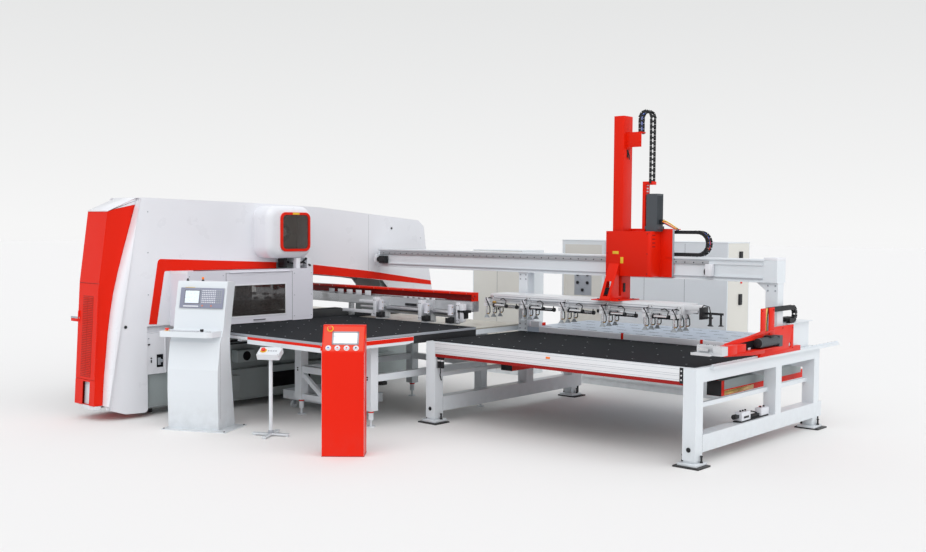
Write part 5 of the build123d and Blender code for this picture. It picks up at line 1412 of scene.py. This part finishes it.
def sill_valves():
    """Valves on the sill of the right trestle."""
    plate = Bench("sill_valve_plate", BLACK, edge=0.002)
    plate.block((5.905, 5.99), (0.76, 1.34), (0.2805, 0.292))
    plate.block((5.93, 5.97), (0.98, 1.18), (0.292, 0.32))
    plate.tube([(5.95, 0.98, 0.32), (5.95, 1.04, 0.355), (5.95, 1.12, 0.338), (5.95, 1.18, 0.315)], 0.007)
    plate.turned([(0.024, 0), (0.024, 0.05)], (5.95, 0.68, 0.34), "y", 20)
    plate.block((5.94, 5.96), (0.72, 0.8), (0.318, 0.35))
    plate.show()
    blocks("sill_valves", PALE_KEY, [
        ((5.912, 5.988), (0.78, 0.96), (0.292, 0.375)),
        ((5.915, 5.985), (1.19, 1.36), (0.292, 0.365))], edge=0.004)
    marks = Bench("sill_valve_fittings", BLACK_STEEL, edge=0.002)
    for y, z in ((0.82, 0.375), (0.87, 0.375), (0.92, 0.375), (1.24, 0.365), (1.31, 0.365)):
        marks.turned([(0.009, z), (0.009, z + 0.014)], (5.95, y, 0), sides=16)
    marks.block((5.988, 5.992), (0.82, 0.92), (0.315, 0.335))
    marks.show()
    rounds("sill_valve_caps", RED_KEY, [
        ([(0.014, 0.345), (0.014, 0.356)], (5.93, 1.275, 0.018), "z", 20)], edge=0.002)


# gantry


def gantry():
    """Rail strips with their screws, bumpers, end plates, column flanges and the cable tray."""
    blocks("gantry_rail_strip", STRIP_GREY, [((0.43, 5.27), (1.4056, 1.4085), (1.738, 1.7785))], edge=0.002)
    blocks("gantry_low_rail", GREY, [((0.43, 5.86), (1.4062, 1.4085), (1.6095, 1.62))], edge=0.001)
    screws("gantry_rail_screws", [(x, 1.4057, 1.758) for x in steps(0.5, 5.2, 46)], (0, -1, 0),
           radius=0.0075, height=0.0004, material=SHADOW)
    blocks("gantry_top_ledge", FRAME, [
        ((GANTRY.left, 5.87), (1.4005, 1.4225), (1.792, 1.8115)),
        ((GANTRY.left, 5.87), (1.4105, 1.4225), (1.5785, CARRIAGE.foot - 0.005))], edge=0.002)
    ends = Bench("gantry_bumpers", BLACK, edge=0.004)
    ends.turned([(0.006, 0), (0.01, 0.004), (0.01, 0.04)], (GANTRY.left + 0.002, 1.37, 1.674), "x", 16)
    ends.turned([(0.024, 0), (0.036, 0.014), (0.036, 0.05)], (0.428, 1.37, 1.674), "x", 24)
    ends.block((0.476, 0.585), (GANTRY.front - 0.004, 1.4045), (1.626, 1.722))
    ends.turned([(0.026, 0), (0.036, 0.004), (0.036, 0.018)], (5.246, 1.371, 1.668), "x", 24)
    ends.show()
    blocks("gantry_left_stop", FRAME, [
        ((GANTRY.left - 0.002, 0.432), (GANTRY.front - 0.0015, 1.4085), (1.6385, 1.7415))], edge=0.003)
    blocks("gantry_bumper_mounts", WHITE, [
        ((5.264, 5.33), (GANTRY.front - 0.004, 1.4085), (1.622, 1.748))], edge=0.003)
    blocks("gantry_end_cap", WHITE, [
        ((5.8685, GANTRY.right + 0.0025), (1.4115, GANTRY.back + 0.0025), (1.7985, GANTRY.top + 0.0025))],
            edge=0.004)
    bolts = [(x, 1.4393, z) for x in (2.78, 2.86, 5.908, 5.987) for z in (0.92, 0.97, 1.5, 1.55)]
    screws("gantry_column_bolts", bolts, (0, -1, 0), radius=0.01, height=0.005, material=GREY, sides=6)
    flange = Bench("gantry_column_flanges", FRAME, edge=0.003)
    for x in ((2.75, 2.889), (5.878, 6.0135)):
        flange.block(x, (1.4345, 1.5745), (GANTRY.foot + 0.0002, 0.896))
        flange.block(x, (1.4345, 1.5745), (1.564, 1.5798))
    flange.show()
    blocks("gantry_cable_tray", ALUMINIUM, [
        ((0.6, 5.2), (GANTRY.back - 0.001, 1.69), (1.7, 1.704)),
        ((0.6, 5.2), (GANTRY.back - 0.0055, GANTRY.back - 0.002), (1.7, 1.76)),
        ((0.6, 5.2), (1.686, 1.69), (1.7, 1.745))], edge=0.002)


def gantry_chain():
    """Cable chain on the gantry and the wires in it."""
    y, turn_x, middle, r = 1.48, 5.114, 1.952, 0.117
    bend = [math.radians(15 * k) for k in range(13)]
    arc = [(4.8, y, middle + r)] + [(turn_x + r * math.sin(a), y, middle + r * math.cos(a)) for a in bend]
    arc.append((4.82, y, middle - r))
    chain = chain_of_links("gantry_chain_links", None, BLACK, arc, (0, 1, 0), 0.05, 0.08, 0.036)
    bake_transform(chain)
    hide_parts("gantry_chain")
    wires = ((-0.022, 0.006, ORANGE), (-0.008, -0.006, YELLOW_KEY), (0.008, 0.006, BLUE_KEY),
             (0.022, -0.006, RED_KEY))
    for i, (dy, dz, colour) in enumerate(wires):
        wire = Bench(f"gantry_chain_wire_{i + 1}", colour, body=None)
        wire.tube([(x, y + dy, z + dz) for x, _, z in arc[:10]], 0.005, 8)
        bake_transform(wire.show())


def loader_carriage():
    """Cover box with its plates and slots, motor with its leads, and tower teeth."""
    dressed("loader_carriage", RED, edge=0.004)
    blocks("carriage_yellow_plates", YELLOW, [
        ((4.262, 4.338), (CARRIAGE.front - 0.0012, CARRIAGE.front + 0.0002), (1.832, 1.862)),
        ((4.362, 4.398), (CARRIAGE.front - 0.0012, CARRIAGE.front + 0.0002), (1.735, 1.8))], edge=0.0006,
            body="carriage")
    # painted shade: dark red strips stand for the shade inside the slots of the red cover
    marks = Bench("carriage_cover_slots", DARK_RED, edge=0.0005, body="carriage")
    for z in (2.035, 1.995, 1.955, 1.915):
        marks.block((4.7192, 4.7206), (1.2, 1.26), (z - 0.006, z + 0.006))
    marks.show()
    blocks("carriage_back_seal", GREY, [
        ((CARRIAGE.right - 0.002, CARRIAGE.right + 0.002), (DRIVE.back + 0.005, 1.41),
         (CARRIAGE.foot - 0.001, 2.1))], edge=0.002, body="carriage")
    screws("carriage_cover_screws", [(x, CARRIAGE.front - 0.0003, z) for x in (4.195, 4.69)
            for z in (1.63, 1.84, 2.05)], (0, -1, 0), height=0.003, material=DARK_RED, body="carriage")
    ribs = [(4.7455, y, 2.3) for y in steps(1.252, 1.354, 8)]
    bars("carriage_motor_ribs", ribs, (1, 0, 0), (0.3, 0.005, 0.006), MOTOR, body="carriage")
    blocks("carriage_motor_plug", BLACK, [
        ((4.748, 4.785), (1.29, 1.335), (2.15, 2.2))], edge=0.003, body="carriage")
    leads = ((-0.018, 0.0, ORANGE), (-0.006, 0.012, YELLOW_KEY), (0.006, -0.01, BLUE_KEY),
             (0.016, 0.006, BLACK))
    for i, (dy, dz, colour) in enumerate(leads):
        lead = Bench(f"carriage_motor_lead_{i + 1}", colour, body="carriage")
        lead.tube([(4.78, 1.31 + dy, 2.18 + dz), (4.805, 1.33 + dy, 2.165 + dz * 1.6),
                   (4.835, 1.37 + dy, 2.14 + dz * 1.4), (4.86, 1.41 + dy, 2.115 + dz),
                   (4.865, 1.45 + dy, 2.1 + dz), (4.86, 1.475 + dy, 2.085 + dz * 0.6)], 0.006, 8)
        lead.show()
    teeth = [(DRIVE.left - 0.002, 1.29, z) for z in steps(2.11, 2.56, 15)]
    bars("tower_pale_teeth", teeth, (1, 0, 0), (0.014, 0.03, 0.004), PALE_KEY, body="carriage")


def mast():
    """Latches, chain plate, gusset lining and foot bolts of the mast."""
    dressed("lift_mast", RED, edge=0.004)
    latch = Bench("mast_latches", BLACK, edge=0.002, body="lift")
    latch.block((4.3515, 4.3635), (1.255, 1.285), (2.995, 2.9999))
    latch.block((4.3515, 4.36), (1.262, 1.285), (2.86, 2.94))
    latch.tube([(4.356, 1.275, 2.93), (4.366, 1.29, 2.88), (4.36, 1.3, 2.84)], 0.005)
    latch.block((4.3515, 4.36), (1.225, 1.262), (1.425, 1.52))
    latch.show()
    blocks("mast_chain_plate", RED, [
        ((4.3525, MAST.right + 0.005), (1.2375, 1.2415), (2.965, 3.112))], edge=0.003, body="lift")
    slot = Bench("gusset_slot_lining", SHADOW, body="lift")
    slope = math.atan2(0.179, 0.38)
    turn = Matrix.Translation((0, 0.965, 1.35)) @ Matrix.Rotation(-slope, 4, "X")
    slot.block((4.262, 4.317), (0.0005, 0.002), (0.06, 0.14), place=turn)
    slot.show()
    screws("mast_foot_bolts", [(x, y, 1.3502) for x in (4.15, 4.42) for y in (1.05, 1.32)], (0, 0, 1),
           radius=0.01, height=0.006, sides=6, body="lift")


def mast_chain():
    """Cable chain beside the mast and the wires in it."""
    high, mid, r, y = 3.267, 4.585, 0.07, 1.285
    bend = [math.radians(18 * k) for k in range(11)]
    loop = [(mid - r, y, 3.13)] + [(mid - r * math.cos(a), y, high + r * math.sin(a)) for a in bend]
    loop.append((mid + r, y, 2.605))
    chain = chain_of_links("mast_chain_links", None, BLACK, loop, (0, 1, 0), 0.055, 0.084, 0.026)
    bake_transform(chain)
    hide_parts("mast_chain")
    wires = Bench("mast_chain_wires", BLUE_KEY, body=None)
    wires.tube([(p[0], 1.275, p[2]) for p in loop[:7]], 0.006, 8)
    wires.tube([(p[0], 1.3, p[2]) for p in loop[:7]], 0.005, 8)
    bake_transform(wires.show())


ARM_X = (2.665, 3.197, 3.731, 4.27, 4.794, 5.13)
CUP_Y = (0.965, 1.085, 1.205)


def coil(x, y, foot, radius=0.0135, tall=0.09, turns=7, points=60):
    """Spring's wire line going up from its foot."""
    ways = [(n / points, 2 * math.pi * turns * n / points) for n in range(points + 1)]
    return [(x + radius * math.cos(a), y + radius * math.sin(a), foot + tall * share) for share, a in ways]


def suction_frame():
    """End plates and grooves of the spreader."""
    blocks("spreader_profile", PROFILE, [
        ((SPREADER.left - 0.002, SPREADER.right + 0.002), (1.0685, 1.072), (1.236, SPREADER.top - 0.001)),
        ((SPREADER.right - 0.002, SPREADER.right + 0.0025), (1.07, SPREADER.back),
         (1.236, SPREADER.top - 0.001)),
        ((SPREADER.left - 0.0025, SPREADER.left + 0.002), (1.07, SPREADER.back),
         (1.236, SPREADER.top - 0.001))], edge=0.004, body="lift")
    rails = Bench("spreader_grooves", GREY, body="lift")
    for z in (1.262, 1.31):
        rails.block((SPREADER.left + 0.005, SPREADER.right - 0.005), (1.0678, 1.0686), (z - 0.003, z + 0.003))
    rails.show()


def arms():
    """Arms with their cups, springs, valves and hoses."""
    clips, springs, rods, lips, hoses, elbows, blocks = (Bench("arm_clamps", ALUMINIUM, edge=0.002,
            body="lift"), Bench("cup_springs", BRIGHT, body="lift"),
            Bench("cup_plungers", BRIGHT, body="lift"), Bench("cup_bellows", RUBBER, body="lift"),
            Bench("vacuum_hoses", BLACK, body="lift"), Bench("hose_elbows", BRASS, edge=0.001, body="lift"),
            Bench("arm_valves", WHITE, edge=0.003, body="lift"))
    for x in ARM_X:
        clips.block((x - 0.028, x + 0.028), (1.068, 1.11), (SPREADER.foot - 0.004, 1.2355))
        clips.block((x - 0.03, x + 0.03), (1.058, 1.069), (1.215, 1.325))
        blocks.block((x - 0.062, x - 0.03), (0.995, 1.055), (1.236, 1.285))
        for k, y in enumerate(CUP_Y):
            lips.turned([(0.012, 1.1), (0.018, 1.092), (0.014, 1.088), (0.024, 1.082), (0.018, 1.078),
                         (0.036, 1.065), (0.034, 1.0655), (0.01, 1.0785)], (x, y, 0), sides=20)
            rods.turned([(0.009, 1.1), (0.009, 1.236), (0.013, 1.24), (0.013, 1.25)], (x, y, 0), sides=12)
            springs.tube(coil(x, y, 1.104), 0.0018, 5)
            elbows.turned([(0.007, 0), (0.007, 0.02)], (x + 0.012, y, 1.112), "x", 10)
            top = (x - 0.046, 1.0 + 0.01 * k, 1.275)
            hoses.tube([(x + 0.034, y, 1.112), (x + 0.046, y, 1.13), (x + 0.04, y + 0.005, 1.18),
                        (x + 0.022, y - 0.012, 1.24), (x + 0.004, y - 0.02, 1.278),
                        (x - 0.02, (y + top[1]) / 2 - 0.01, 1.292), top], 0.006, 8)
    for b in (clips, springs, rods, lips, hoses, elbows, blocks):
        b.show()


def arm_cylinders():
    """Cylinders that spread the arms, with their hoses."""
    barrels, heads = Bench("arm_cylinders", BRIGHT, body="lift"), Bench("arm_cylinder_ends", BLACK_STEEL,
            edge=0.002, body="lift")
    for x in ARM_X[:-1]:
        for y, z, reach in ((1.02, 1.205, 0.23), (1.13, 1.19, 0.3)):
            barrels.turned([(0.019, x + 0.075), (0.019, x + reach)], (0, y, z), "x", 20)
            heads.turned([(0.023, x + 0.055), (0.023, x + 0.075)], (0, y, z), "x", 20)
            heads.turned([(0.023, x + reach), (0.023, x + reach + 0.022)], (0, y, z), "x", 20)
            heads.tube([(x + reach, y, z + 0.02), (x + reach + 0.01, y, z + 0.06),
                        (x + reach - 0.04, y + 0.01, z + 0.085), (x + reach - 0.09, y + 0.02, z + 0.07)],
                       0.006, 8)
    barrels.show()
    heads.show()


def spreader_tail():
    """Tail of the spreader, its main hose, fitting and screws."""
    blocks("spreader_tail_profile", PROFILE, [
        ((SPREADER.right + 0.0025, 5.36), (1.12, 1.18), (1.282, SPREADER.top - 0.002))], edge=0.004,
            body="lift")
    arm = Bench("spreader_tail_arm", BLACK_STEEL, edge=0.003, body="lift")
    arm.block((5.36, 5.385), (1.06, 1.2), (SPREADER.foot, 1.32))
    arm.block((5.385, 5.585), (1.13, 1.15), (1.25, 1.272))
    arm.block((5.385, 5.5), (1.07, 1.09), (1.215, 1.232))
    for x, y in ((5.44, 1.14), (5.56, 1.14), (5.48, 1.08)):
        arm.turned([(0.03, 1.14), (0.012, 1.155), (0.01, 1.262)], (x, y, 0), sides=16)
    arm.tube([(5.37, 1.1, 1.32), (5.4, 1.08, 1.345), (5.45, 1.1, 1.33), (5.48, 1.08, 1.262)], 0.006, 8)
    arm.show()
    main = Bench("vacuum_main_hose", GREY, body="lift")
    main.tube([(2.7, 1.052, 1.292), (3.4, 1.05, 1.284), (4.1, 1.052, 1.29), (5.1, 1.05, 1.286)], 0.006, 10)
    main.show()
    rounds("spreader_brass_fitting", BRASS, [
        ([(0.016, 0), (0.016, 0.035), (0.01, 0.04)], (2.69, 1.045, 1.238), "x", 16)], edge=0.002, body="lift")
    blocks("spreader_end_arm", BLACK_STEEL, [
        ((5.06, SPREADER.right), (SPREADER.back - 0.004, 1.412), (1.225, 1.265))], edge=0.003, body="lift")
    screws("spreader_screws", [(x + d, 1.0578, z) for x in ARM_X for d in (-0.018, 0.018)
            for z in (1.235, 1.305)], (0, -1, 0), radius=0.005, height=0.003, body="lift")


# transfer unit and cabinets


def transfer():
    """Screws of the transfer rail, the arm and the cables beside its post."""
    screws("transfer_rail_screws", [(6.031, y, 0.9003) for y in steps(0.16, 2.84, 28)], (0, 0, 1),
           radius=0.0045, height=0.001, material=SHADOW)
    dressed("transfer_arm", RED)
    for i, (x, z, colour) in enumerate(((6.05, 1.13, BRASS), (6.047, 1.15, YELLOW_KEY),
            (6.052, 1.17, BLACK))):
        bundle = Bench(f"transfer_cable_{i + 1}", colour, body="transfer")
        bundle.tube([(x, 1.112 + i * 0.012, z - 0.1), (x - 0.004, 1.108 + i * 0.012, 1.2),
                     (x, 1.112 + i * 0.012, 1.3), (x - 0.004, 1.135 + i * 0.012, 1.345),
                     (x - 0.006, 1.19 + i * 0.008, 1.338)], 0.009, 10)
        bundle.show()


def transfer_drive():
    """Ends and fins of the transfer motor."""
    motor = Bench("transfer_motor_ends", BLACK, edge=0.003, body="transfer")
    motor.turned([(0.0445, 0), (0.0445, 0.012), (0.03, 0.016)], (6.122, ARM_DRIVE.front - 0.004, 1.042),
                 "y", 28)
    motor.block((ARM_DRIVE.left + 0.007, ARM_DRIVE.right - 0.008), (1.0, 1.07), (ARM_DRIVE.top - 0.006, 1.1))
    motor.show()
    fins = Bench("transfer_motor_fins", MOTOR, body="transfer")
    for k in range(28):
        a = 2 * math.pi * k / 28
        fins.block((-0.0018, 0.0018), (0.83, 1.15), (0.043, 0.0465),
                   place=Matrix.Translation((6.122, 0, 1.042)) @ Matrix.Rotation(a, 4, "Y"))
    fins.show()


def gripper():
    """Pads, cylinder and screws of the gripper."""
    blocks("gripper_pads", BLACK, [
        ((GRIPPER.left - 0.002, 5.9), (-0.022, 0.06), (1.0095, 1.016))], edge=0.002, body="transfer")
    rounds("gripper_cylinder", BRIGHT, [
        ([(0.016, 0), (0.016, 0.1)], (5.93, 0.035, 1.03), "x", 20)], body="transfer")
    screws("gripper_screws", [(x, y, GRIPPER.top + 0.0002) for x in (5.9, 5.97, 6.04)
                              for y in (0.105, 0.135)], (0, 0, 1), radius=0.005, height=0.003,
           body="transfer")
    screws("transfer_plate_screws", [(6.0682, y, z) for y,
            z in ((1.0, 0.93), (1.0, 1.33), (1.24, 1.33), (1.2, 1.0), (1.45, 1.14), (1.68, 1.13),
                  (1.68, 0.93))], (1, 0, 0), radius=0.007, height=0.004, material=DARK_RED, body="transfer")


def transfer_face():
    """Front face of the transfer arm with its recess and sensor."""
    arm = Bench("transfer_arm_face", RED, edge=0.002, body="transfer")
    arm.plate([(0.24, 0.958), (0.212, 0.98), (0.205, 1.01), (0.212, 1.045), (0.245, 1.078), (0.7, 1.112),
               (1.05, 1.15), (1.05, 0.925), (0.8, 0.925)], (6.069, 6.0758), "x")
    arm.show()
    well = Bench("transfer_arm_recess", SHADOW, body="transfer")
    well.plate([(0.35, 0.985), (0.35, 1.056), (0.98, 1.072), (0.98, 0.978)], (6.0757, 6.0764), "x")
    well.show()
    blocks("transfer_arm_sensor", PALE_KEY, [
        ((6.076, 6.09), (0.4, 0.6), (0.99, 1.048)),
        ((6.076, 6.084), (0.69, 0.74), (0.985, 1.005))], edge=0.003, body="transfer")


def transfer_chain():
    """Cable chain of the transfer unit."""
    x, r, mid, middle = 6.034, 0.0665, 1.722, 1.2615
    bend = [math.radians(18 * k) for k in range(11)]
    path = [(x, 1.2, middle + r)] + [(x, mid + r * math.sin(a), middle + r * math.cos(a)) for a in bend]
    path.append((x, 1.66, middle - r))
    chain = chain_of_links("transfer_chain_links", None, BLACK, path, (1, 0, 0), 0.036, 0.04, 0.046)
    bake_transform(chain)
    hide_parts("transfer_chain")


def transfer_box():
    """Valves and front plate of the box at the rail's end."""
    valves, bases = Bench("transfer_valves", BLACK, edge=0.002), Bench("transfer_valve_base", GREY,
            edge=0.002)
    bases.block((RAIL.left + 0.005, 6.005), (1.66, 1.9), (RAIL.top + 0.0002, 1.18))
    for k in range(5):
        valves.block((5.91, 5.99), (1.675 + 0.044 * k, 1.705 + 0.044 * k), (1.18, 1.222))
    valves.show()
    bases.show()
    blocks("transfer_box_front", WHITE, [
        ((RAIL.left - 0.0015, 6.0095), (1.6365, 1.6405), (0.8805, RAIL.top - 0.006))], edge=0.003)


def cabinets():
    """Doors, handles, gaps and the switch panel of the cabinets."""
    gaps = Bench("cabinet_gaps", SEAM)
    for x in (2.65, 3.26, 3.85):
        gaps.block((x - 0.002, x + 0.002), (DOOR.back - 0.0005, DOOR.back + 0.0008), (0.12, 1.92))
    gaps.block((0.788, 0.792), (DOOR.back - 0.0005, DOOR.back + 0.0008), (0.05, 1.76))
    gaps.block((CABINETS.right - 0.0005, CABINETS.right + 0.0006), (3.43, 3.434), (0.12, 1.92))
    gaps.show()
    blocks("cabinet_side_panel", BEIGE, [
        ((CABINETS.right - 0.0005, CABINETS.right + 0.003), (3.42, 3.96), (0.11, 1.93))], edge=0.003)
    grips = Bench("cabinet_handles", BLACK, edge=0.004)
    for z in ((1.74, 1.83), (1.165, 1.3)):
        grips.block((CABINETS.right + 0.003, 4.462), (3.69, 3.765), z)
    for x in (2.7, 3.31, 3.9):
        grips.block((x, x + 0.028), (CABINETS.front - 0.006, DOOR.back - 0.0002), (0.98, 1.14))
    for x in (0.74, 0.82):
        grips.block((x, x + 0.026), (CABINETS.front - 0.006, DOOR.back - 0.0002), (0.92, 1.06))
    grips.show()
    blocks("switch_door_handle", BLACK, [
        ((2.545, 2.572), (3.374, DOOR.back - 0.0032), (0.98, 1.14))], edge=0.004, body="switch_door")
    blocks("low_cabinet_doors", BEIGE, [
        ((0.345, 0.786), (DOOR.back - 0.0032, DOOR.back + 0.0006), (0.06, 1.765)),
        ((0.794, 1.235), (DOOR.back - 0.0032, DOOR.back + 0.0006), (0.06, 1.765))], edge=0.003)
    blocks("cabinet_main_switch", RED_KEY, [
        ((CABINETS.right + 0.003, 4.452), (3.74, 3.775), (1.43, 1.47))], edge=0.002)
    blocks("switch_door_panel", GREY, [
        ((2.16, 2.44), (DOOR.back - 0.0052, DOOR.back - 0.0029), (1.2, 1.56))], edge=0.002,
            body="switch_door")
    icons = Bench("switch_door_switches", BLACK, edge=0.002, body="switch_door")
    for x, z in ((2.22, 1.48), (2.38, 1.48), (2.22, 1.37), (2.38, 1.37), (2.3, 1.27)):
        icons.turned([(0.022, 0), (0.022, 0.01), (0.014, 0.018)], (x, CABINETS.front - 0.008, z), "y", 20)
    icons.show()
    blocks("cabinet_roof_lips", PALE_BLUE, [
        ((1.945, CABINETS.right + 0.005), (DOOR.back - 0.0047, CABINETS.back + 0.005),
         (CABINETS.top - 0.006, CABINETS.top + 0.0055))], edge=0.004)



press_covers()
service_box()
end_cabinet()
head()
head_underside()
guard()
turret()
table()
table_frame()
under_table()
scrap_tray()
carriage()
clamps()
hood_fittings()
console()
console_top()
console_shelf()
pedestal()
stand()
loader_board()
front_profile()
trestles()
stack_deck()
drawers()
air_unit()
sill_valves()
gantry()
gantry_chain()
loader_carriage()
mast()
mast_chain()
suction_frame()
arms()
arm_cylinders()
spreader_tail()
transfer()
transfer_drive()
gripper()
transfer_face()
transfer_chain()
transfer_box()
cabinets()

# floor, light and camera


FLOOR_COLOUR = (0.885, 0.875, 0.855)
SKY_COLOUR = (0.93, 0.95, 1.0)
SKY_STRENGTH = 0.66
BACKDROP_LOW = (0.925, 0.925, 0.925)
BACKDROP_HIGH = (0.79, 0.795, 0.795)
SUN_SPREAD = 60
SUNS = (("front_light", (-0.3, 0.85, -0.9), 1.0),
        ("right_light", (-0.95, -0.05, -0.65), 0.85),
        ("back_light", (0.55, -0.6, -0.7), 0.25))


def floor():
    """Plain pale ground."""
    plane = bmesh.new()
    bmesh.ops.create_grid(plane, x_segments=1, y_segments=1, size=120)
    mesh = bpy.data.meshes.new("floor")
    plane.to_mesh(mesh)
    plane.free()
    ground = linked("floor", mesh)
    paint = bpy.data.materials.new("floor_paint")
    paint.use_nodes = True
    surface = paint.node_tree.nodes["Principled BSDF"]
    feed(paint.node_tree, surface, {"Base Color": (*FLOOR_COLOUR, 1), "Roughness": 0.9,
            "Specular IOR Level": 0.1})
    mesh.materials.append(paint)


def backdrop():
    """Even pale light all round, and a backdrop that darkens slowly upwards for what looks at it."""
    world = bpy.data.worlds.new("studio")
    bpy.context.scene.world = world
    world.use_nodes = True
    tree = world.node_tree
    back = tree.nodes["Background"]
    feed(tree, back, {"Color": (*SKY_COLOUR, 1), "Strength": SKY_STRENGTH})
    seen = tree.nodes.new("ShaderNodeBackground")
    way = tree.nodes.new("ShaderNodeNewGeometry")
    height = tree.nodes.new("ShaderNodeSeparateXYZ")
    tree.links.new(way.outputs["Position"], height.inputs[0])
    tint = blend_colour(tree, spread(tree, height.outputs["Z"], 0.0, 0.2, 0.0, 1.0), BACKDROP_LOW,
                        BACKDROP_HIGH)
    tree.links.new(tint, seen.inputs["Color"])
    ray = tree.nodes.new("ShaderNodeLightPath")
    mixed = tree.nodes.new("ShaderNodeMixShader")
    direct = sums(tree, "MAXIMUM", ray.outputs["Is Camera Ray"], ray.outputs["Is Glossy Ray"])
    tree.links.new(sums(tree, "MAXIMUM", direct, ray.outputs["Is Transmission Ray"]), mixed.inputs["Fac"])
    tree.links.new(back.outputs[0], mixed.inputs[1])
    tree.links.new(seen.outputs[0], mixed.inputs[2])
    tree.links.new(mixed.outputs[0], tree.nodes["World Output"].inputs["Surface"])


def suns():
    """Three wide soft lights."""
    for name, aim, strength in SUNS:
        lamp = bpy.data.lights.new(name, "SUN")
        lamp.energy = strength
        lamp.angle = math.radians(SUN_SPREAD)
        holder = linked(name, lamp)
        holder.matrix_world = Vector(aim).to_track_quat("-Z", "Y").to_matrix().to_4x4()


# the photograph's camera: place in metres, angles in degrees, lens and middle in pixels
EYE = (10.6, -8.4, 2.105)
YAW, PITCH, ROLL = 40.73, 2.896, 0.448
PHOTO_WIDE, PHOTO_HIGH = 926, 552
FOCAL_PIXELS = 1063.6
MIDDLE_X, MIDDLE_Y = 478.77, 281.05
SENSOR = 36


def camera():
    """Camera at the photograph's place and angle."""
    yaw, pitch, roll = (math.radians(a) for a in (YAW, PITCH, ROLL))
    ahead = Vector((-math.sin(yaw) * math.cos(pitch), math.cos(yaw) * math.cos(pitch), -math.sin(pitch)))
    level = Vector((math.cos(yaw), math.sin(yaw), 0))
    above = level.cross(ahead)
    right = level * math.cos(roll) + above * math.sin(roll)
    up = above * math.cos(roll) - level * math.sin(roll)
    turn = Matrix((right, up, -ahead)).transposed().to_4x4()
    data = bpy.data.cameras.new("camera")
    data.sensor_width = SENSOR
    data.lens = FOCAL_PIXELS * SENSOR / PHOTO_WIDE
    data.shift_x = (PHOTO_WIDE / 2 - MIDDLE_X) / PHOTO_WIDE
    data.shift_y = (MIDDLE_Y - PHOTO_HIGH / 2) / PHOTO_WIDE
    data.clip_end = 300
    eye = linked("camera", data)
    eye.matrix_world = Matrix.Translation(EYE) @ turn
    bpy.context.scene.camera = eye


floor()
backdrop()
suns()
camera()
bpy.context.scene.view_settings.view_transform = "Standard"
